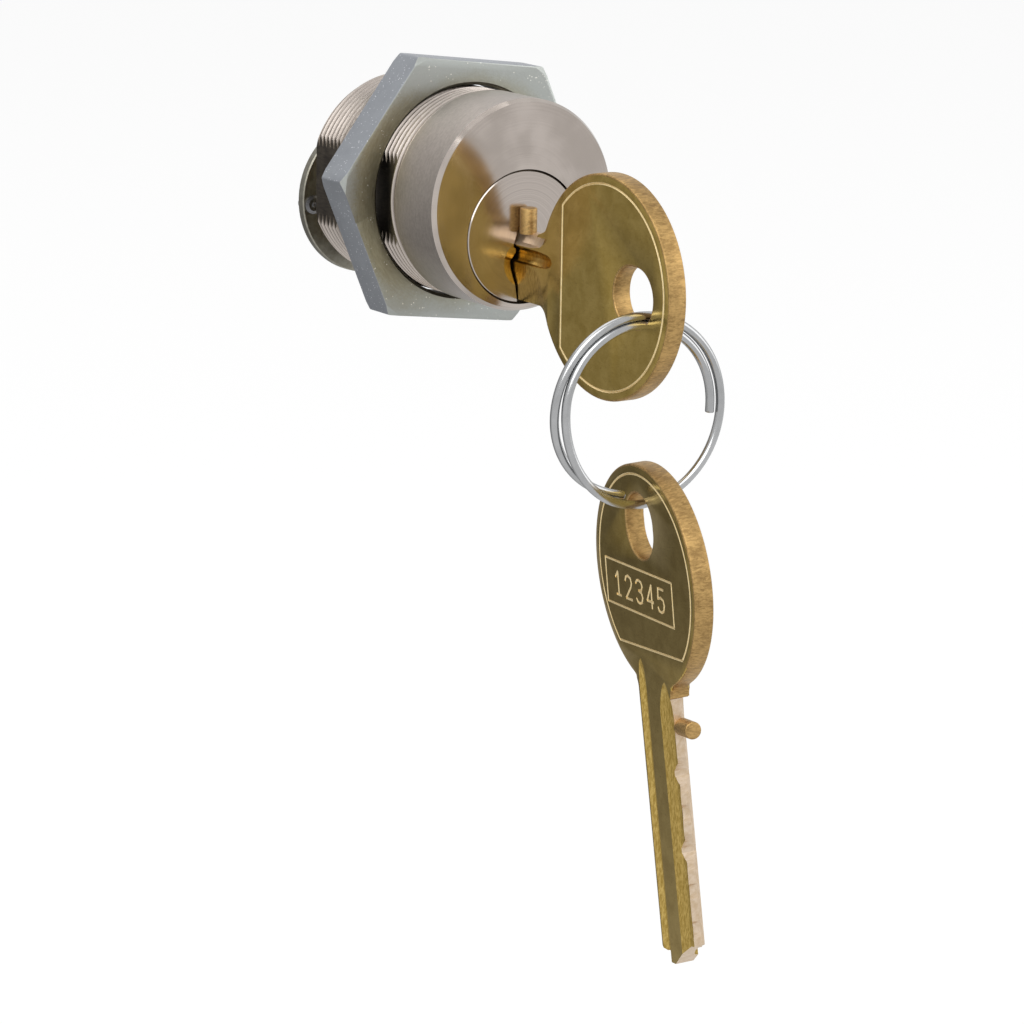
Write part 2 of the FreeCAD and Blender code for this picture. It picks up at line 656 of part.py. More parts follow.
# Circlip: holds the plug against the barrel's rear end.
def make_circlip():
    body = new_body("circlip")
    front = "-(body_len + clip_gap)"
    ring = new_sketch(body, "XZ_Plane", ahead=front)
    add_circle(ring, ("0", "0"), "clip_outer_dia / 2")
    add_circle(ring, ("0", "0"), "clip_groove_dia / 2 + clip_gap")
    pad(body, ring, "clip_thick", reverse=True)
    mouth = new_sketch(body, "XZ_Plane", ahead=front)
    add_polygon(mouth, [
        ("0", "0"),
        ("clip_mouth", "clip_outer_dia"),
        ("-clip_mouth", "clip_outer_dia"),
    ])
    pocket(body, mouth)
    middle = "(clip_outer_dia + clip_groove_dia) / 4"
    eyes = new_sketch(body, "XZ_Plane", ahead=front)
    for side in ("", "-"):
        eye = (f"{side}{middle} * sin(clip_eye_turn)", f"{middle} * cos(clip_eye_turn)")
        add_circle(eyes, eye, "clip_eye_dia / 2")
    pocket(body, eyes)


# Spacer: carries the screw's clamp from the cam disc to the plug's rear shoulder.
def make_tail_spacer():
    body = new_body("tail_spacer")
    inner = "tail_flats / sqrt(2) + spacer_gap"
    profile = new_sketch(body, "YZ_Plane")
    add_polygon(profile, [
        ("plug_len", inner),
        ("disc_front", inner),
        ("disc_front", "spacer_dia / 2"),
        ("plug_len", "spacer_dia / 2"),
    ])
    turned(body, profile)


# Cam disc: keyed to the square tail, with a hole for the drive pin.
def make_cam_disc():
    body = new_body("cam_disc")
    rear = "(disc_front + disc_thick)"
    profile = new_sketch(body, "YZ_Plane")
    add_polygon(profile, [
        ("disc_front", "0"),
        ("disc_front", "disc_dia / 2 - disc_bevel"),
        ("disc_front + disc_bevel", "disc_dia / 2"),
        (f"{rear} - disc_bevel", "disc_dia / 2"),
        (rear, "disc_dia / 2 - disc_bevel"),
        (rear, "0"),
    ])
    turned(body, profile)
    square = new_sketch(body, "XZ_Plane")
    add_square(square, "(tail_flats / 2 + tail_gap)")
    pocket(body, square)
    drive_hole = new_sketch(body, "XZ_Plane")
    add_circle(drive_hole, ("-drive_offset", "-drive_drop"), "rivet_dia / 2 + rivet_gap")
    pocket(body, drive_hole)


# Drive pin: peened over in front of the cam disc, its tip behind works the breaker's slide.
def make_drive_pin():
    body = new_body("drive_pin", across="-drive_offset")
    bind(body, "Placement.Base.z", "-plug_drop - drive_drop")
    rear = "(disc_front + disc_thick)"
    tip = f"({rear} + drive_len)"
    profile = new_sketch(body, "YZ_Plane")
    add_polygon(profile, [
        ("disc_front - rivet_head_len + rivet_dimple", "0"),
        ("disc_front - rivet_head_len", "rivet_head_dia / 6"),
        ("disc_front - rivet_head_len", "rivet_head_dia / 3"),
        ("disc_front - rivet_head_len / 2", "rivet_head_dia / 2"),
        ("disc_front", "rivet_head_dia / 2"),
        ("disc_front", "rivet_dia / 2"),
        (rear, "rivet_dia / 2"),
        (rear, "drive_dia / 2"),
        (f"{tip} - drive_bevel", "drive_dia / 2"),
        (tip, "drive_dia / 2 - drive_bevel"),
        (tip, "0"),
    ])
    turned(body, profile)


# Spring washer: one turn of square wire, slit across.
def make_lock_washer():
    body = new_body("lock_washer")
    rear = "(disc_front + disc_thick)"
    ring = new_sketch(body, "XZ_Plane", ahead=f"-{rear}")
    add_circle(ring, ("0", "0"), "washer_dia / 2")
    add_circle(ring, ("0", "0"), "screw_dia / 2 + screw_gap")
    pad(body, ring, "washer_thick", reverse=True)
    slit = new_sketch(body, "YZ_Plane")
    add_polygon(slit, [
        (f"{rear} - 0.2", "-washer_slit"),
        (f"{rear} - 0.2", "0"),
        (f"{rear} + washer_thick + 0.2", "washer_slit"),
        (f"{rear} + washer_thick + 0.2", "0"),
    ])
    pocket(body, slit, reverse=True)


# Tail screw: clamps cam disc and spacer to the plug.
def make_tail_screw():
    body = new_body("tail_screw")
    seat = "(disc_front + disc_thick + washer_thick)"
    foot = "(disc_front + disc_thick - screw_grip + screw_room)"
    profile = new_sketch(body, "YZ_Plane")
    add_polygon(profile, [
        (foot, "0"),
        (foot, "screw_dia / 2 - screw_bevel"),
        (f"{foot} + screw_bevel", "screw_dia / 2"),
        (seat, "screw_dia / 2"),
        (seat, "screw_head_dia / 2"),
        (f"{seat} + screw_head_len * 0.6", "screw_head_dia / 2"),
        (f"{seat} + screw_head_len", "screw_head_dia * 0.36"),
        (f"{seat} + screw_head_len", "0"),
    ])
    turned(body, profile)
    slot = new_sketch(body, "XZ_Plane", ahead=f"-({seat} + screw_head_len)")
    add_polygon(slot, [
        ("-screw_head_dia", "-screw_slot_width / 2"),
        ("screw_head_dia", "-screw_slot_width / 2"),
        ("screw_head_dia", "screw_slot_width / 2"),
        ("-screw_head_dia", "screw_slot_width / 2"),
    ])
    pocket(body, slot, "screw_slot_depth", reverse=True)


def blade_edge():
    """Corners of the cut edge, from the shoulder to the end of the web."""
    corners = [("-neck_len", "key_top + neck_rise"), ("-neck_len + neck_rise", "key_top")]
    for index, offset in enumerate(chamber_offsets()):
        depth = cut_depth(index)
        half = "cut_flat / 2"
        corners += [
            (f"{offset} - {half} - {depth}", "key_top"),
            (f"{offset} - {half}", f"key_top - {depth}"),
            (f"{offset} + {half}", f"key_top - {depth}"),
            (f"{offset} + {half} + {depth}", "key_top"),
        ]
    return corners + [("web_len - 0.3", "key_top"), ("web_len", "key_top - 0.4")]


# Milled sides of the blade, seen along it. The first number is the distance from the
# blade's middle plane, and each outline closes outside the blade.
def left_flutes(shift):
    outer = f"-(key_thick / 2 + 0.3) + {shift}"
    skin = f"-key_thick / 2 + {shift}"
    wedge = [(outer, "key_top"), (f"-0.15 + {shift}", "key_top"), (skin, "-0.69"), (outer, "-0.74")]
    flute = [
        (outer, "-0.80"),
        (skin, "-0.80"),
        (f"-0.56 + {shift}", "-1.02"),
        (f"-0.36 + {shift}", "-1.64"),
        (f"-0.60 + {shift}", "-2.24"),
        (skin, "-2.52"),
        (outer, "-2.52"),
    ]
    flank = [
        (outer, "-2.60"),
        (skin, "-2.60"),
        (f"-0.55 + {shift}", "-key_back - 0.2"),
        (outer, "-key_back - 0.2"),
    ]
    return [wedge, flute, flank]


def right_flutes(shift):
    outer = f"key_thick / 2 + 0.3 + {shift}"
    skin = f"key_thick / 2 + {shift}"
    step = [
        (outer, "key_top"),
        (f"0.45 + {shift}", "key_top"),
        (f"0.45 + {shift}", "-0.02"),
        (skin, "-0.12"),
        (outer, "-0.12"),
    ]
    flute = [
        (outer, "-4.84"),
        (skin, "-4.84"),
        (f"0.50 + {shift}", "-5.10"),
        (f"0.50 + {shift}", "-5.80"),
        (skin, "-6.06"),
        (outer, "-6.06"),
    ]
    return [step, flute]


def mill_side(body, outlines, start, axis_aside):
    """Mill outlines along the blade from a start, with the cutter's round run-out before it."""
    straight = new_sketch(body, "XZ_Plane", ahead=start)
    for outline in outlines("0"):
        add_polygon(straight, outline)
    pocket(body, straight)
    for index in range(len(outlines("0"))):
        runout = new_sketch(body, "XZ_Plane", ahead=start, aside=axis_aside)
        add_polygon(runout, outlines(f"-({axis_aside})")[index])
        turned(body, runout, "Groove", "V_Axis")


# Key: round bow with a hole, nib that meets the plug's face, and a blade with five cuts.
def make_key(label):
    body = new_body(label)
    bow = new_sketch(body, "YZ_Plane")
    add_circle(bow, ("-bow_middle", "-bow_drop"), "bow_dia / 2")
    pad(body, bow, "key_thick", both_ways=True)
    blade = new_sketch(body, "YZ_Plane")
    add_polygon(blade, [("-2 * neck_len", "key_top + neck_rise")] + blade_edge() + [
        ("web_len", "-0.6"),
        ("tip_len", "-3.6"),
        ("tip_len", "-4.84"),
        ("back_len", "-4.84"),
        ("back_len", "-key_back + 0.5"),
        ("back_len - 0.5", "-key_back"),
        ("-2 * neck_len", "-key_back"),
    ])
    pad(body, blade, "key_thick", both_ways=True)
    nib = new_sketch(body, "YZ_Plane")
    add_polygon(nib, [
        ("-nib_gap - nib_len", "0"),
        ("-nib_gap", "0"),
        ("-nib_gap", "nib_rise"),
        ("-nib_gap - nib_len", "nib_rise"),
    ])
    raised = pad(body, nib, "key_thick", both_ways=True)
    top = size("nib_rise")
    low = -size("key_back")

    def on_nib_top(point):
        return point.z > top - 0.05 and point.y > -size("neck_len")

    def under_neck(point):
        ahead = -size("neck_len") - 1.5 < point.y < -size("nib_len") - 1.0
        return ahead and abs(point.z - low) < 0.05

    rounded = round_edges(body, raised, "nib_fillet", on_nib_top)
    round_edges(body, rounded, "neck_fillet", under_neck)
    for side in ("+", "-"):
        hole = new_sketch(body, "YZ_Plane", ahead="-key_thick")
        add_circle(hole, (f"-hole_reach {side} hole_stretch / 2", "-hole_drop"), "hole_dia / 2")
        pocket(body, hole, reverse=True)
    mill_side(body, left_flutes, "flute_start", "-(key_thick / 2 + mill_radius)")
    mill_side(body, right_flutes, "step_start", "key_thick / 2 + mill_radius")
    return body


def ring_radius():
    """Middle of the ring's wire, from the ring's axis."""
    return (size("ring_dia") - size("ring_wire")) / 2


def room_in_hole(aside, gap):
    """How far below or above a hole's centre the wire can lie, some way beside the centre."""
    reach = size("hole_dia") / 2 - size("ring_wire") / 2 - gap
    return math.sqrt(reach * reach - aside * aside)


def ring_centre_height():
    """Height of the ring's axis: the front turn lies on the lower edge of the key's hole."""
    front_turn = size("ring_reach") + size("ring_pitch") / 4
    aside = front_turn - size("hole_reach") - size("hole_stretch") / 2
    wire = -size("plug_drop") - size("hole_drop") - room_in_hole(aside, size("hang_gap"))
    return wire - math.sqrt(ring_radius() ** 2 - size("ring_aside") ** 2)


def spare_hole_centre():
    """Centre of the hanging key's hole: its upper edge lies on the ring's rear turn."""
    rear_turn = size("ring_reach") - size("ring_pitch") / 4
    across = size("ring_aside") + size("spare_aside")
    wire = ring_centre_height() - math.sqrt(ring_radius() ** 2 - across ** 2)
    aside = rear_turn - size("spare_reach")
    drop = size("hole_stretch") / 2 + room_in_hole(aside, size("spare_gap"))
    panel = size("nut_front") + size("nut_thick")
    return Vector(size("spare_aside"), -size("spare_reach") - panel, wire - drop)


def hang_spare(body):
    """Hang the spare key on the ring, cut edge towards -Y."""
    upside_down = FreeCAD.Rotation(Vector(0, 1, -1), 180)
    yaw = FreeCAD.Rotation(Vector(0, 0, 1), size("spare_yaw"))
    lean = FreeCAD.Rotation(Vector(1, 0, 0), size("spare_lean"))
    tilt = FreeCAD.Rotation(Vector(0, 1, 0), size("spare_tilt"))
    rotation = tilt * lean * yaw * upside_down
    hole = rotation.multVec(Vector(0, -size("hole_reach"), -size("hole_drop")))
    for axis in "xyz":
        body.setExpression(f"Placement.Base.{axis}", None)
    body.Placement = FreeCAD.Placement(spare_hole_centre() - hole, rotation)


# Split ring: one turn and three quarters of wire. Both turns go through the hole of the key
# in the lock, and the front one ends beside the hanging key.
def make_split_ring():
    radius = ring_radius()
    point_at, way_at = helix_tools(radius, size("ring_pitch"), False)

    def point_from_start(turn):
        return point_at(RING_START + turn)

    def way_from_start(turn):
        return way_at(RING_START + turn)

    wound = coil(point_from_start, way_from_start, RING_TURNS, size("ring_wire"))
    height = str(ring_centre_height())
    ring = shape_feature("split_ring", wound, height, f"-ring_reach - ring_pitch - {SEAT_PLANE}")
    bind(ring, "Placement.Base.x", "-ring_aside")
    gap = least_coil_gap(radius, size("ring_pitch"), size("ring_wire"))
    print(f"split ring, least gap between turns {gap:.2f} mm")


make_barrel()
make_chamber_caps()
make_hex_nut()
make_plug()
for number, distance in enumerate(chamber_offsets()):
    make_key_pin(number, distance)
    make_driver_pin(number, distance)
    make_pin_spring(number, distance)
make_stop_pin()
make_circlip()
make_tail_spacer()
make_cam_disc()
make_drive_pin()
make_lock_washer()
make_tail_screw()
make_key("key")
hang_spare(make_key("spare_key"))
make_split_ring()

doc.recompute()
for item in doc.Objects:
    bad = [word for word in item.State if word in ("Invalid", "Error")]
    if bad:
        raise RuntimeError(f"{item.Label} is {bad}")
os.makedirs("parts", exist_ok=True)
for piece in pieces:
    shape = piece.Shape
    if shape.isNull() or not shape.isValid() or not shape.Solids:
        raise RuntimeError(f"{piece.Label} has no sound solid")
    shape.exportStep(os.path.join("parts", f"{piece.Label}.step"))
    print(f"{piece.Label}: {len(shape.Solids)} solid(s), {shape.Volume:.1f} mm3")
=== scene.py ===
import math

import bmesh
import bpy
from mathutils import Matrix, Vector


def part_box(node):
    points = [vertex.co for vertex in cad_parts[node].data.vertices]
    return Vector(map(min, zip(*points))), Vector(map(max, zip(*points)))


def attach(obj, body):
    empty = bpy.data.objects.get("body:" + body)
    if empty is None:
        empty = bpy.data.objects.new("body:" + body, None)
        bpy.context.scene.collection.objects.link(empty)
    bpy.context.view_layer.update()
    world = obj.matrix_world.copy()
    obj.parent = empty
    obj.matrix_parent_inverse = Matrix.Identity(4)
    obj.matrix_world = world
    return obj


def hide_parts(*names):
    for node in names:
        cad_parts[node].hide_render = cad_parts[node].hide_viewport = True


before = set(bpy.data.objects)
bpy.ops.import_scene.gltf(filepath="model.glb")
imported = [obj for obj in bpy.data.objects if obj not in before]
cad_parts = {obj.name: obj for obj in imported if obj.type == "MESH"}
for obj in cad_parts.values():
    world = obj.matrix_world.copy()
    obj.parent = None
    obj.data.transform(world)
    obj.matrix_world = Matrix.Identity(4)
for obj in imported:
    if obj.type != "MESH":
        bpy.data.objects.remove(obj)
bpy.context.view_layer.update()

millimetre = 0.001
mergeGap = 0.0004  # points nearer than this become one, in millimetres
facePlane = -15.1  # barrel face, measured from the panel plane
plugHeight = -3.26  # plug axis, measured from the barrel axis
print("frame loaded,", len(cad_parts), "nodes")


# Modelling helpers. Every shape is drawn in millimetres and scaled once, when it is settled.
def linked(name, data):
    made = bpy.data.objects.new(name, data)
    bpy.context.scene.collection.objects.link(made)
    return made


def asMesh(name, shape):
    mesh = bpy.data.meshes.new(name)
    shape.to_mesh(mesh)
    shape.free()
    return mesh


def asPiece(name, shape):
    bmesh.ops.remove_doubles(shape, verts=shape.verts, dist=mergeGap)
    bmesh.ops.recalc_face_normals(shape, faces=shape.faces)
    return linked(name, asMesh(name, shape))


def workedMesh(piece):
    # the mesh as the object's modifiers, or its curve, make it
    bpy.context.view_layer.update()
    return bpy.data.meshes.new_from_object(piece.evaluated_get(bpy.context.evaluated_depsgraph_get()))


def discard(piece):
    spent = piece.data
    bpy.data.objects.remove(piece)
    bpy.data.meshes.remove(spent)


def carve(piece, tool, operation="DIFFERENCE", crossing=False):
    step = piece.modifiers.new("carve", "BOOLEAN")
    step.operation = operation
    step.solver = "EXACT"
    step.use_self = crossing  # for a tool whose own parts cross each other
    step.object = tool
    carved = workedMesh(piece)
    piece.modifiers.clear()
    before = piece.data
    piece.data = carved
    bpy.data.meshes.remove(before)
    discard(tool)


def pushFaces(shape, faces, way):
    # the first faces stay as the near cap
    grown = bmesh.ops.extrude_face_region(shape, geom=faces, use_keep_orig=True)
    moved = [item for item in grown["geom"] if isinstance(item, bmesh.types.BMVert)]
    bmesh.ops.translate(shape, verts=moved, vec=way)


def turned(name, outline, steps):
    # turned on the barrel's axis; outline: (place along it, distance from it)
    shape = bmesh.new()
    points = [shape.verts.new((0, along, out)) for along, out in outline]
    sides = [shape.edges.new(pair) for pair in zip(points, points[1:])]
    bmesh.ops.spin(shape, geom=points + sides, cent=(0, 0, 0), axis=(0, 1, 0), angle=2 * math.pi,
                   steps=steps, use_merge=True)
    return asPiece(name, shape)


def slab(name, corners, low, high, axis="x"):
    # flat outline pushed along x, or along y
    shape = bmesh.new()
    if axis == "x":
        points = [shape.verts.new((low, a, b)) for a, b in corners]
        way = (high - low, 0, 0)
    else:
        points = [shape.verts.new((a, low, b)) for a, b in corners]
        way = (0, high - low, 0)
    pushFaces(shape, [shape.faces.new(points)], way)
    return asPiece(name, shape)


def rod(name, radius, start, end, steps):
    start, end = Vector(start), Vector(end)
    shape = bmesh.new()
    bmesh.ops.create_cone(shape, cap_ends=True, segments=steps, radius1=radius, radius2=radius,
                          depth=(end - start).length)
    turn = (end - start).to_track_quat("Z", "Y").to_matrix().to_4x4()
    bmesh.ops.transform(shape, matrix=Matrix.Translation((start + end) / 2) @ turn, verts=shape.verts)
    return asPiece(name, shape)


def together(name, parts):
    shape = bmesh.new()
    for part in parts:
        shape.from_mesh(part.data)
        discard(part)
    return linked(name, asMesh(name, shape))


def softenEdges(piece, width, segments, wanted):
    shape = bmesh.new()
    shape.from_mesh(piece.data)
    bmesh.ops.remove_doubles(shape, verts=shape.verts, dist=mergeGap)
    bmesh.ops.dissolve_limit(shape, angle_limit=math.radians(0.6), verts=shape.verts, edges=shape.edges)
    edges = [edge for edge in shape.edges if len(edge.link_faces) == 2 and wanted(edge)]
    bmesh.ops.bevel(shape, geom=edges, offset=width, segments=segments, profile=0.5, affect="EDGES",
                    material=-1)
    shape.to_mesh(piece.data)
    shape.free()


def settle(piece, body, names, stands, place=None, sharp=28, flat=False):
    # into metres, with its finishes; flat leaves the faces of the first finish unsmoothed
    mesh = piece.data
    if place is not None:
        mesh.transform(place)
    mesh.transform(Matrix.Scale(millimetre, 4))
    sorts = [face.material_index for face in mesh.polygons]  # clearing the slots would lose them
    mesh.materials.clear()
    for name in names:
        mesh.materials.append(finishes[name])
    mesh.polygons.foreach_set("material_index", sorts)
    mesh.shade_smooth()
    if flat:
        mesh.polygons.foreach_set("use_smooth", [sort > 0 for sort in sorts])
    mesh.set_sharp_from_angle(angle=math.radians(sharp))
    mesh.update()
    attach(piece, body)
    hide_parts(*stands)


def sortFaces(piece, names, region):
    # region names a face's finish from its middle and its direction
    for face in piece.data.polygons:
        face.material_index = names.index(region(face.center, face.normal))


# Shader helpers: Wire carries a socket, so shader maths is written as Python.
class Wire:
    def __init__(self, finish, socket):
        self.finish = finish
        self.socket = socket

    def worked(self, operation, first, second):
        return self.finish.node("ShaderNodeMath", {"operation": operation}, {0: first, 1: second})

    def __add__(self, other):
        return self.worked("ADD", self, other)

    def __sub__(self, other):
        return self.worked("SUBTRACT", self, other)

    def __rsub__(self, other):
        return self.worked("SUBTRACT", other, self)

    def __mul__(self, other):
        return self.worked("MULTIPLY", self, other)

    def __pow__(self, other):
        return self.worked("POWER", self, other)

    __radd__ = __add__
    __rmul__ = __mul__


class Finish:
    def __init__(self, owner):
        owner.use_nodes = True
        self.owner = owner
        self.tree = owner.node_tree
        self.tree.nodes.clear()

    def node(self, kind, settings, sockets, output=0):
        made = self.tree.nodes.new(kind)
        for key, value in settings.items():
            setattr(made, key, value)
        for key, value in sockets.items():
            if isinstance(value, Wire):
                self.tree.links.new(value.socket, made.inputs[key])
            elif isinstance(value, tuple) and len(value) == 3 and made.inputs[key].type == "RGBA":
                made.inputs[key].default_value = (*value, 1)
            else:
                made.inputs[key].default_value = value
        return Wire(self, made.outputs[output])

    def spot(self):
        # place on the object, in millimetres of the frame
        raw = self.node("ShaderNodeTexCoord", {}, {}, 3)
        return self.node("ShaderNodeVectorMath", {"operation": "SCALE"}, {0: raw, 3: 1 / millimetre})

    def parts(self, vector):
        return [self.node("ShaderNodeSeparateXYZ", {}, {0: vector}, index) for index in range(3)]

    def joined(self, x, y, z):
        return self.node("ShaderNodeCombineXYZ", {}, {0: x, 1: y, 2: z})

    def noise(self, vector, scale, detail=3.0, rough=0.5, twist=0.0):
        return self.node("ShaderNodeTexNoise", {}, {
            "Vector": vector, "Scale": scale, "Detail": detail, "Roughness": rough, "Distortion": twist})

    def ramp(self, value, low, high, first=0.0, last=1.0, kind="SMOOTHSTEP"):
        return self.node("ShaderNodeMapRange", {"interpolation_type": kind}, {
            0: value, 1: low, 2: high, 3: first, 4: last})

    def blend(self, mask, first, second):
        return self.node("ShaderNodeMix", {"data_type": "RGBA"}, {0: mask, 6: first, 7: second}, 2)

    def round(self, x, z, centre):
        # distance from an axis along y, through a height
        drop = z - centre
        return (x * x + drop * drop) ** 0.5

    def bump(self, height, depth):
        # depth in millimetres
        return self.node("ShaderNodeBump", {}, {
            "Strength": 1.0, "Distance": depth * millimetre, "Height": height})

    def metal(self, colour, roughness, normal=None, metallic=1.0):
        sockets = {"Base Color": colour, "Roughness": roughness, "Metallic": metallic}
        if normal is not None:
            sockets["Normal"] = normal
        shader = self.node("ShaderNodeBsdfPrincipled", {}, sockets)
        self.end(shader)
        return self.owner

    def end(self, shader, kind="ShaderNodeOutputMaterial"):
        made = self.tree.nodes.new(kind)
        self.tree.links.new(shader.socket, made.inputs[0])


def newFinish(name):
    return Finish(bpy.data.materials.new(name))


# Finishes
# the root tone is painted shade, for the hollows of the thread
nickelTones = {"bright": (0.56, 0.50, 0.455), "shade": (0.44, 0.39, 0.35), "root": (0.16, 0.135, 0.11)}


def turnedNickel(name, rough, markDepth):
    paint = newFinish(name)
    place = paint.spot()
    x, y, z = paint.parts(place)
    out = paint.round(x, z, 0.0)
    rings = paint.noise(paint.joined(out, 0.0, 0.0), 5.5, 4.0, 0.7)
    fine = paint.noise(paint.joined(out * 9.0, x * 0.25, z * 0.25), 2.0, 2.0, 0.6)
    cloud = paint.noise(place, 0.22, 2.0)
    light = paint.ramp(cloud + (rings - 0.5) * 0.35, 0.35, 0.7)
    colour = paint.blend(light, nickelTones["shade"], nickelTones["bright"])
    marks = rings * 0.6 + fine * 0.4
    return paint.metal(colour, rough + fine * 0.10, paint.bump(marks, markDepth))


def satinNickel(name):
    paint = newFinish(name)
    place = paint.spot()
    x, y, z = paint.parts(place)
    lines = paint.noise(paint.joined(x * 0.12, y, z * 0.12), 7.0, 4.0, 0.75)
    dapple = paint.noise(place, 3.2, 3.0, 0.6)
    light = paint.ramp(lines * 0.6 + dapple * 0.4, 0.35, 0.65)
    colour = paint.blend(light, nickelTones["shade"], nickelTones["bright"])
    return paint.metal(colour, 0.24 + dapple * 0.16, paint.bump(lines * 0.7 + dapple * 0.3, 0.012))


def threadNickel(name):
    paint = newFinish(name)
    place = paint.spot()
    x, y, z = paint.parts(place)
    out = paint.round(x, z, 0.0)
    # painted light and shade: crests lighter and roots darker, as lit crests and shaded hollows; the grime
    # noise varies them
    crest = paint.ramp(out, 10.5, 10.86)
    grime = paint.noise(paint.joined(x * 0.3, y * 3.0, z * 0.3), 2.0, 4.0, 0.6)
    colour = paint.blend(crest * (0.7 + grime * 0.5), nickelTones["root"], nickelTones["bright"])
    return paint.metal(colour, 0.34 - crest * 0.12 + grime * 0.1, paint.bump(grime, 0.01))


def milledFlat(name):
    # painted dark reflection: the flat darkens over the millimetre in front of the nut and stays near black
    # to the rear end; lighter between the head and the nut
    paint = newFinish(name)
    place = paint.spot()
    x, y, z = paint.parts(place)
    lines = paint.noise(paint.joined(x, y * 0.15, z), 6.0, 4.0, 0.7)
    cloud = paint.noise(place, 0.7, 3.0)
    light = paint.ramp(lines * 0.5 + cloud * 0.5, 0.3, 0.7)
    # the flat painted dark, as the dark reflection it shows
    paintedDarkFlat = paint.blend(light, (0.055, 0.045, 0.038), (0.13, 0.11, 0.085))
    colour = paint.blend(paint.ramp(y, -5.2, -4.2, 1.0, 0.0), paintedDarkFlat, (0.30, 0.265, 0.20))
    return paint.metal(colour, 0.3 + lines * 0.2, paint.bump(lines, 0.012))


def paintedGlint(paint, place, scale, share):
    # painted glints: single crystals of the plating painted near white, as if they caught the light
    cells = paint.node("ShaderNodeTexVoronoi", {"feature": "F1"}, {
        "Vector": place, "Scale": scale, "Randomness": 1.0})
    chosen = paint.noise(place, scale * 0.6, 2.0)
    return paint.ramp(cells, 0.10, 0.26, 1.0, 0.0) * paint.ramp(chosen, 1 - share, 1.08 - share)


def zincSide(name):
    paint = newFinish(name)
    place = paint.spot()
    cloud = paint.noise(place, 0.5, 3.0)
    grain = paint.noise(place, 5.5, 4.0, 0.7)
    base = paint.blend(cloud * 0.5 + grain * 0.5, (0.28, 0.295, 0.325), (0.45, 0.47, 0.50))
    # painted glints on the side facets
    colour = paint.blend(paintedGlint(paint, place, 3.4, 0.52), base, (0.95, 0.96, 1.0))
    return paint.metal(colour, 0.36 + grain * 0.16, paint.bump(grain, 0.016), 0.8)


def zincFace(name):
    paint = newFinish(name)
    place = paint.spot()
    x, y, z = paint.parts(place)
    out = paint.round(x, z, 0.0)
    streak = paint.noise(paint.joined(out * 1.6, x * 0.35, z * 0.35), 3.0, 5.0, 0.75)
    grain = paint.noise(place, 4.5, 4.0, 0.7)
    cloud = paint.noise(place, 0.16, 2.0, 0.5)
    # a band round the head: the plating's yellow and olive stain, with painted shade from the head, wider and
    # darker on the left
    left = paint.ramp(x, -13.0, -4.0, 1.0, 0.0)
    reach = out + (cloud - 0.5) * 2.0 + (grain - 0.5) * 1.6 - left * 2.2
    stainAndShade = paint.ramp(reach, 10.8, 13.2, 1.0, 0.0)
    clean = paint.blend(cloud * 0.4 + grain * 0.6, (0.36, 0.375, 0.35), (0.45, 0.47, 0.455))
    stainAndShadeTone = paint.blend(streak, (0.15, 0.13, 0.075), (0.46, 0.43, 0.30))
    colour = paint.blend(stainAndShade * (0.65 + 0.3 * left), clean, stainAndShadeTone)
    # painted glints on the front face
    colour = paint.blend(paintedGlint(paint, place, 3.0, 0.46), colour, (0.90, 0.88, 0.80))
    return paint.metal(colour, 0.27 + streak * 0.18, paint.bump(streak * 0.6 + grain * 0.4, 0.02), 0.95)


brassTones = {
    "face": ((0.46, 0.315, 0.075), (0.60, 0.43, 0.13)),
    "pit": (0.20, 0.125, 0.03),
    "edge": ((0.30, 0.185, 0.07), (0.57, 0.37, 0.145)),
    "milled": ((0.36, 0.235, 0.05), (0.66, 0.47, 0.15)),
    # the line tones are a painted highlight, pale so the engraved lines look lit
    "line": ((0.74, 0.56, 0.27), (0.90, 0.73, 0.42)),
    "cut": ((0.60, 0.45, 0.29), (0.73, 0.59, 0.45)),
    "bare": ((0.58, 0.41, 0.14), (0.74, 0.56, 0.26)),
}


def brassFace(name):
    paint = newFinish(name)
    place = paint.spot()
    cloud = paint.noise(place, 0.55, 4.0, 0.6, 0.4)
    drawn = paint.node("ShaderNodeVectorMath", {"operation": "MULTIPLY"}, {0: place, 1: (1.0, 0.35, 3.0)})
    scratch = paint.noise(drawn, 3.0, 5.0, 0.75)
    pits = paint.ramp(paint.noise(place, 6.0, 3.0, 0.6), 0.30, 0.40, 1.0, 0.0)
    light = paint.ramp(cloud * 0.7 + scratch * 0.3, 0.32, 0.68)
    colour = paint.blend(light, brassTones["face"][0], brassTones["face"][1])
    colour = paint.blend(pits * 0.5, colour, brassTones["pit"])
    return paint.metal(colour, 0.10 + scratch * 0.12, paint.bump(scratch * 0.6 + cloud * 0.4, 0.005))


def brassEdge(name):
    paint = newFinish(name)
    place = paint.spot()
    x, y, z = paint.parts(place)
    torn = paint.noise(paint.joined(x * 0.5, y * 1.7, z * 1.7), 2.6, 5.0, 0.75, 0.5)
    broad = paint.noise(place, 0.5, 2.0)
    light = paint.ramp(torn * 0.75 + broad * 0.25, 0.36, 0.62)
    colour = paint.blend(light, brassTones["edge"][0], brassTones["edge"][1])
    return paint.metal(colour, 0.34 + torn * 0.2, paint.bump(torn, 0.03))


def brassCut(name, tones, roughness, metallic=1.0):
    paint = newFinish(name)
    place = paint.spot()
    x, y, z = paint.parts(place)
    lines = paint.noise(paint.joined(x * 0.4, y * 2.2, z * 0.5), 3.0, 4.0, 0.7)
    colour = paint.blend(paint.ramp(lines, 0.32, 0.7), tones[0], tones[1])
    return paint.metal(colour, roughness + lines * 0.14, paint.bump(lines, 0.010), metallic)


def plainSteel(name, dark, light, roughness, grainScale, markDepth):
    paint = newFinish(name)
    place = paint.spot()
    grain = paint.noise(place, grainScale, 4.0, 0.65)
    cloud = paint.noise(place, grainScale * 0.15, 2.0)
    colour = paint.blend(paint.ramp(grain * 0.5 + cloud * 0.5, 0.3, 0.7), dark, light)
    return paint.metal(colour, roughness + grain * 0.15, paint.bump(grain, markDepth))


